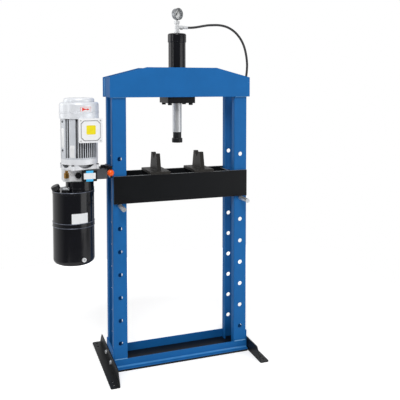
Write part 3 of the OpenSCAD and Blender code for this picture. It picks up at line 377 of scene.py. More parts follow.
# White enamel of the dial plate: flat and even, so that the print stands out.
DIAL_WHITE = Finish("white dial enamel", "#f5f6f6", 0.45, gloss=0.3, grain_mm=2.0, bump_mm=0.002,
                    patch_mm=20.0, tone=0.02, edge_mm=0.3)
# Printed marks and the needle: flat black ink. The same black paints the shade in the box screws' cross
# recesses.
BLACK_INK_AND_SHADE = Finish("black ink and painted shade", "#111214", 0.6, gloss=0.2, grain_mm=0.6, bump_mm=0.002,
                   patch_mm=8.0, tone=0.08, edge_mm=0.2)
# Dial print: thin and so read as grey at a distance.
DIAL_INK = replace(BLACK_INK_AND_SHADE, name="grey dial ink", colour="#5a5d61")
# Coated paper labels, left blank: white with a slight gloss and soft creases.
WHITE_LABEL = Finish("white coated label", "#eceef0", 0.4, gloss=0.4, grain_mm=6.0, patch_mm=22.0,
                     tone=0.03, edge_mm=0.3)
# Vinyl tape: an even, light cyan with a soft gloss.
CYAN_TAPE = Finish("cyan vinyl tape", "#3fbcf6", 0.35, grain_mm=3.0, bump_mm=0.01, patch_mm=16.0,
                   tone=0.05, edge_mm=0.3)
# The same vinyl as a patch: flat, bright yellow.
YELLOW_VINYL = replace(CYAN_TAPE, name="yellow vinyl patch", colour="#f4e21c", tone=0.04)
# The same vinyl cut to thin shapes: strong, even red.
RED_VINYL = replace(CYAN_TAPE, name="red vinyl", colour="#f0372a", patch_mm=10.0, edge_mm=0.2)
# Bare aluminium plates: brushed along their height, paler than the lacquer round them.
BARE_PLATE = Finish("brushed aluminium plate", "#f6f7f8", 0.4, metallic=0.2, grain=Grain.ALONG_Z,
                    grain_mm=0.8, bump_mm=0.01, patch_mm=25.0, tone=0.05, edge_mm=0.4)


@dataclass
class Shape:
    """A surface as points in millimetres and the corners of its faces."""

    points: np.ndarray
    faces: list[list[int]]

    @staticmethod
    def grid(points: np.ndarray) -> "Shape":
        """Joins a grid of points by quads, closed round its second index.

        Face (i, j) takes points (i, j), (i, j+1), (i+1, j+1) and (i+1, j), with j+1 wrapped round.

        Args:
            points: array of rows, columns and three coordinates.

        Returns:
            The surface.
        """
        rows, cols = points.shape[:2]
        index = np.arange(rows * cols).reshape(rows, cols)
        turned = np.roll(index, -1, axis=1)
        quads = np.stack([index[:-1], turned[:-1], turned[1:], index[1:]], axis=-1)
        return Shape(points.reshape(-1, 3), quads.reshape(-1, 4).tolist())

    @staticmethod
    def joined(shapes: list["Shape"]) -> "Shape":
        """Puts surfaces together in one, with the corner numbers of each moved on.

        Args:
            shapes: surfaces to put together.

        Returns:
            One surface with all of them.
        """
        starts = np.cumsum([0] + [len(s.points) for s in shapes[:-1]])
        faces = [[int(c + start) for c in face] for s, start in zip(shapes, starts) for face in s.faces]
        return Shape(np.concatenate([s.points for s in shapes]), faces)


def circle(steps: int, wide: float = 1.0, tall: float = 1.0) -> np.ndarray:
    """Points of an ellipse: half its width times the cosine, half its height times the sine."""
    turn = np.linspace(0, 2 * math.pi, steps, endpoint=False)
    return np.stack([wide * np.cos(turn), tall * np.sin(turn)], axis=-1)


def flat_place(origin: Vector, across: Vector, up: Vector) -> Placer:
    """Gives a map from a flat sheet to a plane in space.

    A point is origin + u times across + v times up + w times their cross product.

    Args:
        origin: centre of the sheet in millimetres.
        across: unit vector of the sheet's first direction.
        up: unit vector of its second direction.

    Returns:
        Function of u, v and w.
    """
    first, second = np.array(across), np.array(up)
    out = np.cross(first, second)

    def place(u: np.ndarray, v: np.ndarray, w: np.ndarray) -> np.ndarray:
        """Maps sheet coordinates to space."""
        return np.array(origin) + u[..., None] * first + v[..., None] * second + w[..., None] * out

    return place


def round_place(axis: Pair, radius: float, angle: float, height: float) -> Placer:
    """Gives a map from a flat sheet to an upright cylinder.

    The first coordinate runs along the arc, so the angle is the start angle plus u over the radius,
    and the distance from the axis is the radius plus w.

    Args:
        axis: X and Y of the cylinder's axis.
        radius: radius of the surface that the sheet lies on.
        angle: angle of the sheet's centre in degrees from +X.
        height: Z of the sheet's centre.

    Returns:
        Function of u, v and w.
    """
    def place(u: np.ndarray, v: np.ndarray, w: np.ndarray) -> np.ndarray:
        """Maps sheet coordinates to space."""
        turn = math.radians(angle) + u / radius
        far = radius + w
        return np.stack([axis[0] + far * np.cos(turn), axis[1] + far * np.sin(turn), height + v], axis=-1)

    return place


def rounded_outline(width: float, height: float, corner: float, steps: int = 6) -> np.ndarray:
    """Outline of a rectangle with rounded corners.

    Each corner is a quarter circle about a centre that lies the corner radius in from both sides.

    Args:
        width: size along the first direction.
        height: size along the second direction.
        corner: corner radius.
        steps: points on each corner.

    Returns:
        Array of points, anticlockwise.
    """
    turn = np.linspace(0, math.pi / 2, steps)
    starts = np.arange(4) * math.pi / 2
    angle = (starts[:, None] + turn).ravel()
    signs = np.array([[1, 1], [-1, 1], [-1, -1], [1, -1]])
    centres = np.repeat(signs * [width / 2 - corner, height / 2 - corner], steps, axis=0)
    return spaced(centres + corner * np.stack([np.cos(angle), np.sin(angle)], axis=-1))


def spaced(outline: np.ndarray, step: float = 3.0) -> np.ndarray:
    """Adds points on the long sides of an outline, so that it can follow a round surface.

    Points lie at whole steps of the distance run round the outline, beside the corners themselves.

    Args:
        outline: corner points of a closed outline.
        step: largest distance between points.

    Returns:
        The outline with more points.
    """
    closed = np.concatenate([outline, outline[:1]])
    run = np.concatenate([[0], np.cumsum(np.linalg.norm(np.diff(closed, axis=0), axis=1))])
    more = np.union1d(run[:-1], np.arange(0, run[-1] - step / 2, step))
    return np.stack([np.interp(more, run, closed[:, 0]), np.interp(more, run, closed[:, 1])], axis=-1)


def slab(outline: np.ndarray, thick: float, place: Placer, sink: float = 0.1) -> Shape:
    """A thin plate with a softened rim, laid on a plane or a cylinder.

    Rings of the outline, scaled about its middle, run from the underside's centre to the rim, up the
    rim with a small round, and back over the top to its centre.

    Args:
        outline: points round the plate, seen from outside.
        thick: height above the surface.
        place: map from sheet coordinates to space.
        sink: depth of the underside below the surface.

    Returns:
        The closed plate.
    """
    middle = (outline.max(axis=0) + outline.min(axis=0)) / 2
    soft = min(0.4 * thick / max(np.ptp(outline, axis=0).min() / 2, 1e-6), 0.2)
    share = np.array([0, 0.5, 1, 1, 1 - soft, 0.75 * (1 - soft), 0.5 * (1 - soft), 0.25 * (1 - soft), 0])
    height = np.array([-sink, -sink, -sink, 0.6 * thick, thick, thick, thick, thick, thick])
    flat = middle + share[:, None, None] * (outline - middle)
    return Shape.grid(place(flat[..., 0], flat[..., 1], np.broadcast_to(height[:, None], flat.shape[:2])))


def revolved(profile: list[Pair] | np.ndarray, base: Vector, axis: Vector, steps: int = 40,
             corners: np.ndarray | None = None) -> Shape:
    """A turned piece.

    A point is base + height times the axis + radius times a unit vector that turns round the axis. A
    corner factor for each step makes the round a hexagon or a knurl.

    Args:
        profile: radius and height pairs from one pole to the other.
        base: point on the axis at height 0.
        axis: unit vector of the axis.
        steps: points round the axis.
        corners: factor on the radius for each step.

    Returns:
        The closed surface.
    """
    along = np.array(axis, dtype=float)
    side = np.cross(along, ASKEW)
    side /= np.linalg.norm(side)
    other = np.cross(along, side)
    ring = circle(steps) @ np.array([side, other])
    if corners is not None:
        ring = ring * corners[:, None]
    rows = np.array(profile)
    points = np.array(base) + rows[:, 1, None, None] * along + rows[:, 0, None, None] * ring
    return Shape.grid(points)


def hexagon(steps: int = 48) -> np.ndarray:
    """Factor that turns a circle through the flats into a hexagon: one over the cosine from a flat."""
    turn = np.linspace(0, 2 * math.pi, steps, endpoint=False)
    return 1 / np.cos((turn + math.pi / 6) % (math.pi / 3) - math.pi / 6)


def swept(path: np.ndarray, side: Vector, profile: np.ndarray, swell: np.ndarray | None = None) -> Shape:
    """A profile carried along a path, closed at both ends.

    At each point the profile's first coordinate runs along the side vector and its second along the
    cross product of side and tangent. A swell factor for each point scales the profile.

    Args:
        path: points of the path.
        side: unit vector that stays square to the path.
        profile: closed outline of the section.
        swell: factor on the section at each point.

    Returns:
        The closed surface.
    """
    tangent = np.gradient(path, axis=0)
    tangent /= np.linalg.norm(tangent, axis=1, keepdims=True)
    across = np.broadcast_to(np.array(side, dtype=float), tangent.shape)
    up = np.cross(across, tangent)
    scale = np.ones(len(path)) if swell is None else swell
    ends = np.concatenate([[0], scale, [0]])
    spine = np.concatenate([path[:1], path, path[-1:]])
    across = np.concatenate([across[:1], across, across[-1:]])
    up = np.concatenate([up[:1], up, up[-1:]])
    section = ends[:, None, None] * profile
    points = spine[:, None] + section[..., :1] * across[:, None] + section[..., 1:] * up[:, None]
    return Shape.grid(points)


def add_piece(name: str, shape: Shape, finish: Finish, body: str = "frame") -> bpy.types.Object:
    """Makes a piece of the object from a surface and hangs it on a body.

    Points that lie together are merged, and edges that bend by more than SHARP_DEG stay sharp.

    Args:
        name: the piece's name.
        shape: surface in millimetres.
        finish: what it is made of.
        body: body that it moves with.

    Returns:
        The object.
    """
    mesh = bpy.data.meshes.new(name)
    mesh.from_pydata(shape.points * MM, [], shape.faces)
    work = bmesh.new()
    work.from_mesh(mesh)
    bmesh.ops.remove_doubles(work, verts=work.verts, dist=MERGE_MM * MM)
    bmesh.ops.dissolve_degenerate(work, edges=work.edges, dist=MERGE_MM / 2 * MM)
    bmesh.ops.recalc_face_normals(work, faces=work.faces)
    work.to_mesh(mesh)
    work.free()
    mesh.polygons.foreach_set("use_smooth", np.ones(len(mesh.polygons), dtype=bool))
    mesh.set_sharp_from_angle(angle=math.radians(SHARP_DEG))
    mesh.materials.append(finish.material())
    made = add_object(name, mesh)
    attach(made, body)
    LOG.info("piece %s: %d faces on %s", name, len(mesh.polygons), body)
    return made


def box_mm(node: str) -> tuple[np.ndarray, np.ndarray]:
    """Gives a CAD node's lowest and highest corners in millimetres."""
    low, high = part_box(node)
    return np.array(low) / MM, np.array(high) / MM


@dataclass(frozen=True)
class Lamp:
    """A soft box that faces a target."""

    name: str  # lamp's name
    place_mm: Vector  # its middle
    target_mm: Vector  # point that it faces
    size_mm: Pair  # width and height
    watts: float  # power

    def build(self) -> None:
        """Makes the lamp, tipped from straight down and then turned about the vertical to its target."""
        data = bpy.data.lights.new(self.name, "AREA")
        data.shape = "RECTANGLE"
        data.size, data.size_y = self.size_mm[0] * MM, self.size_mm[1] * MM
        data.energy = self.watts
        made = add_object(self.name, data)
        made.location = [c * MM for c in self.place_mm]
        way = np.array(self.target_mm, dtype=float) - np.array(self.place_mm, dtype=float)
        tip = math.atan2(math.hypot(way[0], way[1]), -way[2])
        made.rotation_euler = (tip, 0.0, math.atan2(way[1], way[0]) - math.pi / 2)


@dataclass
class Studio:
    """Camera, lamps, pale floor and white surround."""

    eye_mm: Vector = (-988.5, -3126.7, 1535.0)  # camera's place
    turn_deg: float = -19.781  # camera's turn about the vertical from looking along +Y
    dip_deg: float = 3.089  # how far it looks down
    focal_px: float = 586.1  # focal length in pixels of the image
    image_px: float = 400.0  # width and height of the image
    axis_row_px: float = 115.2  # image row that the camera's axis meets
    floor_mm: float = 1900.0  # half width of the floor
    floor_colour: str = "#f0f0f0"  # sRGB hex of the floor's paint
    lift: Pair = (0.46, 0.98)  # what the floor adds for the camera near the object and at its rim
    lift_from: Pair = (0.45, 0.95)  # shares of the half width between which the lift rises
    sky: float = 0.42  # light level of the surround
    room: Pair = (0.14, 0.75)  # level that is mirrored from the front, and from the backdrop
    # Direction's Y where the room's level starts to rise, and where it is the backdrop's.
    room_y: Pair = (-0.5, 0.35)
    # The soft boxes.
    lamps: tuple[Lamp, ...] = (
        Lamp("key lamp", (-1200, -3300, 4200), (0, 0, 900), (2200, 2200), 105),
        Lamp("right strip", (1900, -2100, 1000), (-100, 0, 1000), (2000, 2000), 17),
        Lamp("left strip", (-2619, -812, 1700), (0, 0, 1600), (450, 1700), 4),
        Lamp("back lamp", (-2300, 1300, 1800), (0, 0, 1600), (1500, 1500), 8),
        Lamp("top lamp", (0, 300, 4300), (0, 0, 0), (3000, 3000), 10))

    def build(self) -> None:
        """Sets the view transform and makes camera, floor, lamps and surround."""
        bpy.context.scene.view_settings.view_transform = "Standard"
        self.add_camera()
        self.add_floor()
        for lamp in self.lamps:
            lamp.build()
        self.add_surround()

    def add_camera(self) -> None:
        """Makes the camera: lens is focal pixels over image pixels times the sensor's width."""
        data = bpy.data.cameras.new("photo camera")
        data.sensor_width = SENSOR_MM
        data.lens = self.focal_px / self.image_px * SENSOR_MM
        data.shift_y = (self.axis_row_px - self.image_px / 2) / self.image_px
        data.clip_end = CLIP_M
        made = add_object("photo camera", data)
        made.location = [c * MM for c in self.eye_mm]
        made.rotation_euler = (math.radians(90 - self.dip_deg), 0.0, math.radians(self.turn_deg))
        bpy.context.scene.camera = made

    def add_floor(self) -> None:
        """Makes a pale painted floor that keeps the soft shadow and is white to the camera at its rim.

        What it adds for the camera rises with the distance from its middle, up to the rim.
        """
        half = self.floor_mm * MM
        mesh = bpy.data.meshes.new("floor")
        mesh.from_pydata([(-half, -half, 0), (half, -half, 0), (half, half, 0), (-half, half, 0)], [],
                         [(0, 1, 2, 3)])
        paint = bpy.data.materials.new("pale floor paint")
        tree = fresh_tree(paint)
        seen = add_node(tree, "ShaderNodeLightPath").outputs["Is Camera Ray"]
        place = add_node(tree, "ShaderNodeTexCoord").outputs["Object"]
        far = add_node(tree, "ShaderNodeVectorMath", {0: place}, operation="LENGTH").outputs["Value"]
        rise = mapped(tree, far, (self.lift_from[0] * half, self.lift_from[1] * half), self.lift)
        shade = add_node(tree, "ShaderNodeBsdfDiffuse", {"Color": linear(self.floor_colour)})
        glow = add_node(tree, "ShaderNodeEmission", {"Strength": combined(tree, "MULTIPLY", seen, rise)})
        both = add_node(tree, "ShaderNodeAddShader", {0: shade.outputs[0], 1: glow.outputs[0]})
        add_node(tree, "ShaderNodeOutputMaterial", {"Surface": both.outputs[0]})
        mesh.materials.append(paint)
        made = add_object("floor", mesh)

    def add_surround(self) -> None:
        """Makes the surround: a white backdrop that is seen and mirrored, and a plain grey light elsewhere.

        Mirrored, it falls off from the pale backdrop to the grey of the room in front of the object, by
        the direction's Y.
        """
        world = bpy.data.worlds.new("studio surround")
        tree = fresh_tree(world)
        rays = add_node(tree, "ShaderNodeLightPath").outputs
        way = add_node(tree, "ShaderNodeTexCoord").outputs["Generated"]
        depth = add_node(tree, "ShaderNodeSeparateXYZ", {0: way}).outputs["Y"]
        room = mapped(tree, depth, self.room_y, self.room)
        seen = combined(tree, "ADD", rays["Is Camera Ray"], rays["Is Transmission Ray"], use_clamp=True)
        level = combined(tree, "MAXIMUM", seen, room)
        shown = combined(tree, "ADD", seen, rays["Is Glossy Ray"], use_clamp=True)
        dim = add_node(tree, "ShaderNodeBackground", {"Color": WHITE, "Strength": self.sky})
        white = add_node(tree, "ShaderNodeBackground", {"Color": WHITE, "Strength": level})
        mix = add_node(tree, "ShaderNodeMixShader", {0: shown, 1: dim.outputs[0], 2: white.outputs[0]})
        add_node(tree, "ShaderNodeOutputWorld", {"Surface": mix.outputs[0]})
        bpy.context.scene.world = world


@dataclass
class PressureHose:
    """Hose from the gauge tee over to the crosshead's right end."""

    # X and Z of its points, in the plane Y = 0.
    route_mm: tuple[Pair, ...] = (
        (62, 1847), (78, 1847), (100, 1849), (125, 1853), (155, 1859), (185, 1864), (215, 1866),
        (245, 1867), (275, 1864), (305, 1856), (333, 1842), (358, 1823), (379, 1800), (396, 1774),
        (409, 1745), (418, 1713), (424, 1680), (427, 1647), (426, 1614), (423, 1586), (421, 1570),
        (421, 1556))
    diameter_mm: float = 13.0  # outer diameter
    per_span: int = 4  # points made on each span of the route
    sides: int = 20  # points round the hose

    def path(self) -> np.ndarray:
        """Runs one smooth curve through the route's points.

        Each span is a cubic whose end slopes are half the step between the points on either side.

        Returns:
            Points of the curve in millimetres.
        """
        flat = np.array(self.route_mm, dtype=float)
        knots = np.stack([flat[:, 0], np.zeros(len(flat)), flat[:, 1]], axis=-1)
        slope = np.gradient(knots, axis=0)
        t = np.linspace(0, 1, self.per_span, endpoint=False)[:, None, None]
        a, b, p, q = knots[:-1], knots[1:], slope[:-1], slope[1:]
        curve = ((2 * t**3 - 3 * t**2 + 1) * a + (t**3 - 2 * t**2 + t) * p
                 + (3 * t**2 - 2 * t**3) * b + (t**3 - t**2) * q)
        return np.concatenate([curve.transpose(1, 0, 2).reshape(-1, 3), knots[-1:]])

    def build(self) -> None:
        path = self.path()
        ring = circle(self.sides, self.diameter_mm / 2, self.diameter_mm / 2)
        hose = add_piece("hose_cover", swept(path, BACK, ring), RUBBER)
        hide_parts("pressure_hose")


@dataclass
class Welds:
    """Weld beads in the corners of the frame, the bed and the V-blocks."""

    size_mm: float = 6.0  # width of a bead
    flat: float = 0.8  # share of the width that a bead is high
    ripple_mm: float = 4.0  # distance between ripples
    swell: float = 0.12  # share by which a bead swells at a ripple
    wander_mm: float = 0.4  # how far a bead wanders from its line
    wander_run_mm: float = 9.0  # length of bead over one radian of the wandering
    taper_mm: float = 4.0  # length over which its ends thin out
    seat_mm: float = 0.8  # how far a bead's middle stands out of its corner
    base_seat_mm: Pair = (2.2, 0.8)  # how far it stands out from the base angle's back and over its edge
    # How far it stands out from that back and over the crosshead's lower edge.
    head_seat_mm: Pair = (2.0, -0.6)
    channel_stop_mm: float = 2.0  # distance of its ends from a channel's sides
    head_stop_mm: float = 4.0  # distance of its ends from the crosshead's edges
    bed_stop_mm: float = 6.0  # distance of its ends from the bed's edges
    spacer_mm: float = 10.0  # thickness of the bed's spacers
    plate_mm: float = 22.0  # thickness of a V-block's standing plate
    # Half length of a V-block's bead, and its height over the block's underside.
    block_bead_mm: Pair = (71.0, 14.6)
    angle_mm: float = 6.0  # thickness of the base angles
    root_mm: float = 7.0  # radius in the root of the base angles
    # How far the root's fillet lies in the steel, and its ends lie in from the angle's.
    root_sink_mm: Pair = (0.3, 0.5)
    web_y_mm: float = 90.0  # distance of the base angles' backs from the middle
    # Nodes of the base angles, each with the sign of Y on its side.
    angles: tuple[tuple[str, int], ...] = (("base_front_angle", -1), ("base_back_angle", 1))

    def bead(self, start: Vector, end: Vector, side: Vector) -> Shape:
        """Makes one bead: a flattened round carried along a line, swelling at every ripple.

        The swell is one plus a share of a rectified sine, the bead wanders by a slow sine, and its ends
        thin out to half.

        Args:
            start: first end in millimetres.
            end: other end.
            side: unit vector square to the line, along the bead's width.

        Returns:
            The bead.
        """
        first, last = np.array(start, dtype=float), np.array(end, dtype=float)
        length = float(np.linalg.norm(last - first))
        t = np.linspace(0, 1, max(int(length / self.ripple_mm * 5), 12))
        run = t * length
        wander = self.wander_mm * np.sin(run / self.wander_run_mm)
        path = first + t[:, None] * (last - first) + wander[:, None] * np.array(side)
        taper = np.clip(np.minimum(run, length - run) / self.taper_mm + 0.5, 0.5, 1)
        swell = taper * (1 + self.swell * np.abs(np.sin(math.pi * run / self.ripple_mm)))
        return swept(path, side, circle(12, self.size_mm / 2, self.flat * self.size_mm / 2), swell)

    def build(self) -> None:
        """Makes the blue, the black and the bare beads, each kind one piece."""
        add_piece("frame_welds", Shape.joined(self.frame_beads()), WELD_ENAMEL)
        add_piece("angle_roots", Shape.joined(self.root_fillets()), ROOT_ENAMEL)
        add_piece("bed_welds", Shape.joined(self.bed_beads()), WELD_BLACK, "bed")
        add_piece("v_block_welds", Shape.joined(self.block_beads()), DARK_STEEL, "bed")

    def frame_beads(self) -> list[Shape]:
        """Beads on the base angles and under the crosshead plates, and up the crosshead's ends.

        Returns:
            The beads.
        """
        beads = []
        head = box_mm("crosshead_front_plate")[0][2]
        for node, out in self.angles:
            edge = box_mm(node)[1][2]
            for side in ("left", "right"):
                low, high = box_mm(f"front_{side}_channel")
                for seat, height in ((self.base_seat_mm, edge), (self.head_seat_mm, head)):
                    y, z = out * (self.web_y_mm + seat[0]), height + seat[1]
                    beads.append(self.bead((low[0] + self.channel_stop_mm, y, z),
                                           (high[0] - self.channel_stop_mm, y, z), BACK))
        for side in ("left", "right"):
            low, high = box_mm(f"crosshead_{side}_end")
            x = low[0] - self.seat_mm if side == "left" else high[0] + self.seat_mm
            beads += self.upright_beads(x, low, high, self.head_stop_mm)
        return beads

    def upright_beads(self, x: float, low: np.ndarray, high: np.ndarray, stop: float) -> list[Shape]:
        """Beads up the front and the back corner of an upright plate.

        Args:
            x: place of both beads along X.
            low: the plate's lowest corner.
            high: its highest corner.
            stop: distance of the beads' ends from the plate's edges.

        Returns:
            The beads.
        """
        return [self.bead((x, y, low[2] + stop), (x, y, high[2] - stop), BACK)
                for y in (low[1] + self.seat_mm, high[1] - self.seat_mm)]

    def root_fillets(self) -> list[Shape]:
        """Hollow fillets along the inner corners of the two base angles.

        The section is a corner closed by a quarter circle about the point one radius out from both legs.

        Returns:
            The fillets.
        """
        sink, stop = self.root_sink_mm
        turn = np.linspace(math.pi, 1.5 * math.pi, 9)
        hollow = self.root_mm * (1 + np.stack([np.cos(turn), np.sin(turn)], axis=-1))
        corner = np.concatenate([[[-sink, -sink], [-sink, self.root_mm]], hollow, [[self.root_mm, -sink]]])
        fillets = []
        for node, out in self.angles:
            low, high = box_mm(node)
            path = np.linspace([low[0] + stop, 0, 0], [high[0] - stop, 0, 0], 40)
            path = path + [0, out * (self.web_y_mm + self.angle_mm), low[2] + self.angle_mm]
            fillets.append(swept(path, (0, out, 0), corner * [1, -out]))
        return fillets

    def bed_beads(self) -> list[Shape]:
        """Beads up the corners between the bed's beams and both faces of its spacers.

        Returns:
            The beads.
        """
        low, high = box_mm("bed_spacers")
        faces = (high[0] - self.spacer_mm - self.seat_mm, high[0] + self.seat_mm)
        return [bead for side in (1, -1) for x in faces
                for bead in self.upright_beads(side * x, low, high, self.bed_stop_mm)]

    def block_beads(self) -> list[Shape]:
        """Beads along both feet of each V-block's standing plate.

        Returns:
            The beads.
        """
        half, rise = self.block_bead_mm
        beads = []
        for node in ("left_v_block", "right_v_block"):
            low, high = box_mm(node)
            for side in (1, -1):
                x = (low[0] + high[0]) / 2 + side * (self.plate_mm / 2 + self.seat_mm)
                beads.append(self.bead((x, -half, low[2] + rise), (x, half, low[2] + rise), RIGHT))
        return beads


@dataclass
class Gauge:
    """Marks of the pressure gauge's dial."""

    sweep_deg: float = 270.0  # angle from the first mark to the last
    majors: int = 6  # spaces between long marks
    minors: int = 2  # short spaces in each
    outer_mm: float = 27.0  # radius of the marks' outer ends
    long_mm: Pair = (0.6, 4.5)  # width and length of a long mark
    short_mm: Pair = (0.35, 2.5)  # width and length of a short mark
    ink_mm: float = 0.12  # height of the print
    arc_mm: Pair = (0.1, 0.2)  # half height and half width of the arc's section
    step: int = 10  # what a long space counts
    figure_mm: float = 4.2  # height of the figures
    figure_in_mm: float = 8.5  # distance of the figures' middles from the marks' outer ends
    turn_deg: float = 28.0  # turn of the gauge about its stem
    plate_mm: float = -4.6  # distance of the dial plate's front from the stem's axis
    needle_mm: float = -1.6  # distance of the needle's front from it

    def on_face(self, u: np.ndarray, v: np.ndarray, out: float) -> np.ndarray:
        """Places points of the dial: u across it, v up it and one distance out from the stem's axis.

        Args:
            u: distances across.
            v: distances up.
            out: distance towards the front.

        Returns:
            Points in millimetres.
        """
        low, high = box_mm("gauge_dial")
        place = flat_place((0.0, 0.0, (low[2] + high[2]) / 2), self.across(), UP)
        return place(np.asarray(u, dtype=float), np.asarray(v, dtype=float), np.full(np.shape(u), out))

    def across(self) -> Vector:
        """Unit vector across the dial, turned about the stem from +X."""
        return (math.cos(math.radians(self.turn_deg)), math.sin(math.radians(self.turn_deg)), 0.0)

    def outward(self) -> Vector:
        """Unit vector out of the dial, turned about the stem from -Y."""
        return (math.sin(math.radians(self.turn_deg)), -math.cos(math.radians(self.turn_deg)), 0.0)

    def mark_angle(self, share: float) -> float:
        """Angle on the dial, from the right, at a share of the sweep from the first mark."""
        return math.radians(90 + self.sweep_deg / 2 - self.sweep_deg * share)

    def build(self) -> None:
        """Makes the marks, the figures and the hub's cap."""
        count = self.majors * self.minors
        marks = [self.mark(self.mark_angle(i / count), self.short_mm if i % self.minors else self.long_mm)
                 for i in range(count + 1)]
        arc = np.radians(90 + np.linspace(-self.sweep_deg / 2, self.sweep_deg / 2, 60))
        path = self.on_face(self.outer_mm * np.cos(arc), self.outer_mm * np.sin(arc), self.plate_mm)
        marks.append(swept(path, self.outward(), circle(8, *self.arc_mm)))
        add_piece("dial_marks", Shape.joined(marks), DIAL_INK)
        reach = self.outer_mm - self.figure_in_mm
        figures = []
        for i in range(self.majors + 1):
            angle = self.mark_angle(i / self.majors)
            figures.append(self.figure(str(i * self.step), reach * math.cos(angle), reach * math.sin(angle)))
        add_piece("dial_figures", Shape.joined(figures), DIAL_INK)
        hub = revolved([(0, -0.4), (3.4, -0.4), (3.4, 0.6), (2.6, 1.2), (0, 1.4)],
                       tuple(self.on_face(0.0, 0.0, self.needle_mm)), self.outward())
        add_piece("needle_hub_cap", hub, STAINLESS, "needle")

    def mark(self, angle: float, size: Pair) -> Shape:
        """Makes a mark that points to the dial's middle.

        Args:
            angle: its angle on the dial, from the right.
            size: its width and length.

        Returns:
            The mark.
        """
        wide, tall = size
        reach = self.outer_mm - tall / 2
        middle = self.on_face(reach * math.cos(angle), reach * math.sin(angle), self.plate_mm)
        across, up = np.array(self.across()), np.array(UP)
        way = math.cos(angle) * across + math.sin(angle) * up
        side = math.sin(angle) * across - math.cos(angle) * up
        place = flat_place(tuple(middle), tuple(side), tuple(way))
        return slab(rounded_outline(wide, tall, 0.15, 3), self.ink_mm, place, 0.05)

    def figure(self, words: str, u: float, v: float) -> Shape:
        """Makes a figure of the dial as a flat mesh, facing the front.

        Args:
            words: the number.
            u: its middle across the dial.
            v: its middle up the dial.

        Returns:
            Its surface.
        """
        curve = bpy.data.curves.new("figure", "FONT")
        curve.body = words
        curve.size = self.figure_mm
        curve.align_x = "CENTER"
        curve.align_y = "CENTER"
        made = bpy.data.objects.new("figure", curve)
        mesh = made.to_mesh()
        flat = np.empty(len(mesh.vertices) * 3)
        mesh.vertices.foreach_get("co", flat)
        flat = flat.reshape(-1, 3)
        faces = [list(face.vertices) for face in mesh.polygons]
        points = self.on_face(u + flat[:, 0], v + flat[:, 1], self.plate_mm + 0.1)
        made.to_mesh_clear()
        bpy.data.objects.remove(made)
        bpy.data.curves.remove(curve)
        return Shape(points, faces)


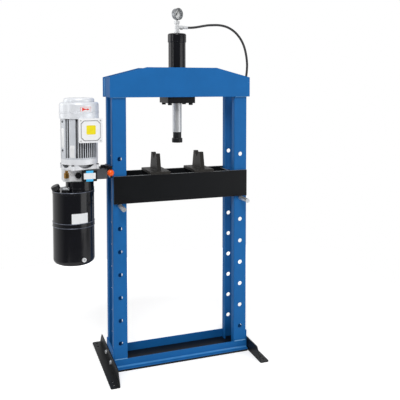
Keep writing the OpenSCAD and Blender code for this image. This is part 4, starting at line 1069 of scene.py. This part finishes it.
@dataclass
class PowerUnit:
    """Labels, plates and small fasteners of the motor, the valves and the tank."""

    axis_mm: Pair = (-552.0, -60.0)  # X and Y of the motor's axis
    tank_axis_mm: Pair = (-585.0, -60.0)  # X and Y of the tank's axis
    tank_r_mm: float = 106.0  # radius of the tank
    fin_r_mm: float = 94.0  # radius of the motor's fins and pads
    label_mm: float = 0.4  # thickness of a label
    bead_mm: float = 1.7  # radius of a rolled bead's section
    # Radius and height of each bead about the tank's axis.
    beads_mm: tuple[Pair, ...] = ((107.0, 803.0), (107.0, 825.0), (105.8, 983.4))
    # Radius, height and section radius of the bead round the fan cover.
    cover_bead_mm: Vector = (98.9, 1387.0, 3.4)
    tank_label_at: Pair = (-79.7, 849.0)  # angle in degrees and height of the tank's label
    tank_label_mm: Vector = (86.0, 58.0, 3.0)  # width, height and corner radius of that label
    fitting_mm: Vector = (-632.0, -110.0, 985.0)  # middle of the lid fitting's underside
    fitting_top_mm: float = 994.0  # height of the top of its black foot
    fitting_way: Pair = (0.94, -0.34)  # direction along the fitting, as X and Y
    fitting_screw_mm: float = 16.0  # distance of its screws from its middle
    plug_mm: Pair = (-567.0, 1065.0)  # X and Z of the manifold's round plug
    plug_deep_mm: float = 8.0  # distance of the grip's seat behind the manifold's foremost point
    coil_shift_mm: float = -1.0  # shift of the coil's tape and label from its middle, along X
    coil_tape_mm: Pair = (36.0, 0.4)  # width and corner radius of the coil's tape
    coil_label_mm: Vector = (60.0, 31.0, 1.5)  # width, height and corner radius of the coil's label
    # Angle in degrees, height, width and length of each plate on the motor's pads.
    plates: tuple[tuple[float, float, float, float], ...] = (
        (200, 1258, 30, 98), (240, 1192, 24, 62), (340, 1196, 40, 92))
    plate_mm: float = 0.8  # thickness of a plate
    plate_corner_mm: float = 1.5  # corner radius of a plate
    pad_deg: float = 200.0  # angle of the pad that has screws
    pad_screws_mm: Pair = (1342.0, 1195.0)  # heights of those screws
    lug_mm: Pair = (97.0, 1118.0)  # radius and height of the flange's lugs
    lug_deg: float = 62.0  # angle of the first lug
    patch_at: Pair = (-513.0, 1304.0)  # X and Z of the terminal box's patch
    patch_mm: Vector = (46.0, 46.0, 6.0)  # width, height and corner radius of that patch
    box_screw_mm: Pair = (10.0, 1.5)  # inset of the box's screws from its sides, and from its foremost point
    arrow_at: Pair = (-77.8, 1405.5)  # angle in degrees and height of the fan cover's patch
    arrow_rim_mm: Vector = (57.0, 24.0, 2.0)  # width, height and corner radius of its rim
    arrow_patch_mm: Vector = (54.0, 21.0, 1.5)  # width, height and corner radius of its field
    arrow_layers_mm: Vector = (0.3, 0.45, 0.7)  # heights of its rim, its field and its wedge
    cover_ring_mm: float = 1.0  # how far the fan cover's raised ring stands out from its side

    def build(self) -> None:
        """Makes the unit's fine pieces from the tank up."""
        self.add_beads()
        self.add_tank_label()
        self.add_lid_fitting()
        self.add_plug_knob()
        self.add_coil_tape()
        self.add_motor_plates()
        self.add_flange_bolts()
        self.add_box_patch()
        self.add_turn_arrow()

    def around(self, radius: float, angle: float, height: float) -> Vector:
        """Gives the point at a radius and an angle in radians about the motor's axis, at a height."""
        x, y = self.axis_mm
        return (x + radius * math.cos(angle), y + radius * math.sin(angle), height)

    def add_label(self, name: str, outline: np.ndarray, thick: float, place: Placer, finish: Finish) -> None:
        """Lays a thin label on a surface."""
        add_piece(name, slab(outline, thick, place), finish)

    def add_beads(self) -> None:
        """Makes the rolled beads round the tank, its lid and the fan cover."""
        rings = [self.bead(self.tank_axis_mm, radius, height, self.bead_mm)
                 for radius, height in self.beads_mm]
        # The tank's beads are painted grey as a painted highlight.
        add_piece("tank_beads", Shape.joined(rings), BEAD_HIGHLIGHT_ENAMEL)
        add_piece("cover_bead", self.bead(self.axis_mm, *self.cover_bead_mm), PRESSED_SILVER)

    def bead(self, axis: Pair, radius: float, height: float, section: float) -> Shape:
        """Makes one rolled bead: a small circle turned about an upright axis.

        Args:
            axis: X and Y of the axis in millimetres.
            radius: radius of the circle's path.
            height: height of the circle's path.
            section: radius of the small circle.

        Returns:
            The bead.
        """
        ring = circle(12, section, section)
        return revolved(np.concatenate([ring, ring[:1]]) + [radius, height], (*axis, 0.0), UP, 96)

    def add_tank_label(self) -> None:
        """Makes the blank label on the tank's front."""
        place = round_place(self.tank_axis_mm, self.tank_r_mm, *self.tank_label_at)
        self.add_label("tank_label", rounded_outline(*self.tank_label_mm), self.label_mm, place, WHITE_LABEL)

    def add_lid_fitting(self) -> None:
        """Makes the plated return fitting on the lid: an oval flange, two screws and a plug."""
        x, y, foot = self.fitting_mm
        top = self.fitting_top_mm
        way = (*self.fitting_way, 0.0)
        square = (-way[1], way[0], 0.0)
        under = flat_place((x, y, foot), way, square)
        base = slab(rounded_outline(40, 22, 10.9, 10), top - foot, under, 0.05)
        add_piece("lid_fitting_base", base, BLACK_NYLON)
        parts = [slab(rounded_outline(46, 24, 11.9, 10), 9, flat_place((x, y, top), way, square), 0.05)]
        plug = [(0, 8.5), (8, 8.5), (8, 16), (7, 17.5), (0, 17.5)]
        parts.append(revolved(plug, (x, y, top), UP, 48, hexagon()))
        screw = [(0, 8.5), (4, 8.5), (4, 12), (3.2, 13), (0, 13.3)]
        for side in (-self.fitting_screw_mm, self.fitting_screw_mm):
            parts.append(revolved(screw, (x + way[0] * side, y + way[1] * side, top), UP, 24))
        add_piece("lid_fitting", Shape.joined(parts), ZINC)

    def add_plug_knob(self) -> None:
        """Makes the knurled black grip on the manifold's round plug: each step's radius rises and falls."""
        turn = np.linspace(0, 2 * math.pi, 96, endpoint=False)
        knurl = 1 + 0.02 * np.cos(24 * turn)
        front = float(box_mm("manifold")[0][1])
        profile = [(0, -1), (14.5, -1), (15.2, 0), (15.2, 7), (14, 8.6), (9, 9.2), (8.6, 8.4), (0, 8.4)]
        spot = (self.plug_mm[0], front + self.plug_deep_mm, self.plug_mm[1])
        add_piece("plug_grip", revolved(profile, spot, (0, -1, 0), 96, knurl), BLACK_NYLON)

    def add_coil_tape(self) -> None:
        """Makes the coil's cyan tape, as high as the coil, and the blank label over it."""
        low, high = box_mm("valve_coil")
        middle = (low + high) / 2
        place = flat_place((middle[0] + self.coil_shift_mm, low[1], middle[2]), RIGHT, UP)
        wide, corner = self.coil_tape_mm
        tape = rounded_outline(wide, high[2] - low[2], corner, 3)
        self.add_label("coil_tape", tape, self.label_mm, place, CYAN_TAPE)
        label = rounded_outline(*self.coil_label_mm)
        self.add_label("coil_label", label, 2 * self.label_mm, place, WHITE_LABEL)

    def add_motor_plates(self) -> None:
        """Makes the bare plates on the motor's pads, left and right, and the screws of the outer left pad."""
        plates = [slab(rounded_outline(wide, tall, self.plate_corner_mm), self.plate_mm,
                       round_place(self.axis_mm, self.fin_r_mm, angle, height))
                  for angle, height, wide, tall in self.plates]
        add_piece("motor_plates", Shape.joined(plates), BARE_PLATE)
        angle = math.radians(self.pad_deg)
        out = (math.cos(angle), math.sin(angle), 0.0)
        screw = [(0, -1), (5.5, -1), (5.5, 2), (4.5, 3.4), (2.6, 3.6), (2.6, 1.4), (0, 1.4)]
        screws = [revolved(screw, self.around(self.fin_r_mm, angle, height), out, 30)
                  for height in self.pad_screws_mm]
        add_piece("pad_screws", Shape.joined(screws), CAST_IRON)

    def add_flange_bolts(self) -> None:
        """Makes the hexagon bolts with washers on the flange's four corner lugs."""
        washer = [(0, 0), (8, 0), (8, 1.2), (0, 1.2)]
        head = [(0, 1.1), (6, 1.1), (6, 4.2), (5.2, 4.8), (0, 4.8)]
        radius, height = self.lug_mm
        bolts = []
        for k in range(4):
            spot = self.around(radius, math.radians(self.lug_deg + 90 * k), height)
            bolts.append(revolved(washer, spot, UP, 30))
            bolts.append(revolved(head, spot, UP, 48, hexagon()))
        add_piece("flange_bolts", Shape.joined(bolts), BLACK_OXIDE)

    def add_box_patch(self) -> None:
        """Makes the plain yellow patch on the terminal box's cover and black crosses that paint the shade in
        its screws' recesses.
        """
        low, high = box_mm("terminal_box")
        place = flat_place((self.patch_at[0], low[1], self.patch_at[1]), RIGHT, UP)
        self.add_label("box_patch", rounded_outline(*self.patch_mm), self.label_mm, place, YELLOW_VINYL)
        inset, sunk = self.box_screw_mm
        slot = rounded_outline(5.6, 1.3, 0.3, 3)
        # Painted shade: flat black crosses stand for the shade in the screws' recesses.
        crosses = []
        for x in (low[0] + inset, high[0] - inset):
            for z in (low[2] + inset, high[2] - inset):
                for way in ((0.8, 0.0, 0.6), (-0.6, 0.0, 0.8)):
                    spot = flat_place((x, low[1] + sunk, z), way, (-way[2], 0.0, way[0]))
                    crosses.append(slab(slot, 0.15, spot, 0.1))
        add_piece("box_screw_slot_shade", Shape.joined(crosses), BLACK_INK_AND_SHADE)

    def add_turn_arrow(self) -> None:
        """Makes the patch on the fan cover with a red rim and a red wedge that tapers to the right."""
        low, high = box_mm("fan_cover")
        place = round_place(self.axis_mm, (high[0] - low[0]) / 2 - self.cover_ring_mm, *self.arrow_at)
        wedge = np.array([[-20, -8.5], [-5, -2.9], [9, -2.5], [9, -5], [20, 0], [9, 5], [9, 2.5],
                          [-5, 2.9], [-20, 8.5]], dtype=float)
        rim, field, top = self.arrow_layers_mm
        self.add_label("arrow_rim", rounded_outline(*self.arrow_rim_mm), rim, place, RED_VINYL)
        self.add_label("arrow_patch", rounded_outline(*self.arrow_patch_mm), field, place, WHITE_LABEL)
        self.add_label("turn_arrow", spaced(wedge), top, place, RED_VINYL)


@dataclass
class Dressing:
    """Finishes of the pieces that come with the frame."""

    # Finish of each group of CAD nodes.
    finishes: tuple[tuple[Any, tuple[str, ...]], ...] = (
        (BLUE_ENAMEL, ("front_left_channel", "back_left_channel", "front_right_channel",
                       "back_right_channel", "base_front_angle", "base_back_angle", "left_side_plate",
                       "right_side_plate", "crosshead_front_plate", "crosshead_back_plate",
                       "crosshead_left_end", "crosshead_right_end", "cylinder_seat_plate")),
        # The base pan is a black sheet that stands in for the shade on the floor inside the base: painted
        # shade.
        (BLACK_ENAMEL, ("base_pan", "left_foot", "right_foot", "gland_block", "unit_bracket")),
        (BED_ENAMEL, ("bed_front_beam", "bed_back_beam", "bed_spacers")),
        (BLACK_OXIDE, ("ram_nose", "gland_bolts")),
        (GLOSS_BLACK, ("cylinder_tube", "cylinder_cap", "oil_tank", "tank_lid", "filler_cap")),
        (ZINC, ("unit_bolts",)),
        (NICKEL, ("foot_bolts", "drain_plug", "hose_fitting", "hose_elbow", "gauge_tee")),
        (GROUND_STEEL, ("left_bed_pin", "right_bed_pin", "motor_rotor", "suction_pipe", "ram_piston")),
        (DARK_STEEL, ("left_v_block", "right_v_block")),
        (HARD_CHROME, ("ram_rod",)),
        (STAINLESS, ("gauge_case",)),
        (SILVER_LACQUER, ("motor_flange",)),
        (BOX_LACQUER, ("terminal_box",)),
        (CAST_LACQUER, ("motor_housing",)),
        (PRESSED_SILVER, ("fan_cover",)),
        (MILLED_ALLOY, ("manifold",)),
        (BRASS, ("check_valve", "rod_bush")),
        (CAST_IRON, ("valve_body",)),
        (BLACK_NYLON, ("valve_coil", "valve_lever")),
        (RUBBER, ("rod_wiper", "piston_seal", "pressure_hose")),
        (ORANGE_BALL, ("lever_knob",)),
        (DIAL_WHITE, ("gauge_dial",)),
        (BLACK_INK_AND_SHADE, ("gauge_needle",)),
        (GaugeGlass(), ("gauge_glass",)),
    )

    def build(self, nodes: dict[str, bpy.types.Object]) -> None:
        """Gives each CAD node its finish.

        Args:
            nodes: objects of the CAD nodes by name.
        """
        for finish, names in self.finishes:
            paint = finish.material()
            for name in names:
                mesh = nodes[name].data
                mesh.materials.clear()
                mesh.materials.append(paint)
            LOG.info("finish %s on %d nodes", paint.name, len(names))


def main() -> None:
    """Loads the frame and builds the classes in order."""
    logging.basicConfig(level=logging.INFO, format="%(name)s: %(message)s")
    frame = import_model()
    Studio().build()
    PressureHose().build()
    Dressing().build(frame["nodes"])
    Welds().build()
    Gauge().build()
    PowerUnit().build()


if __name__ == "__main__":
    main()
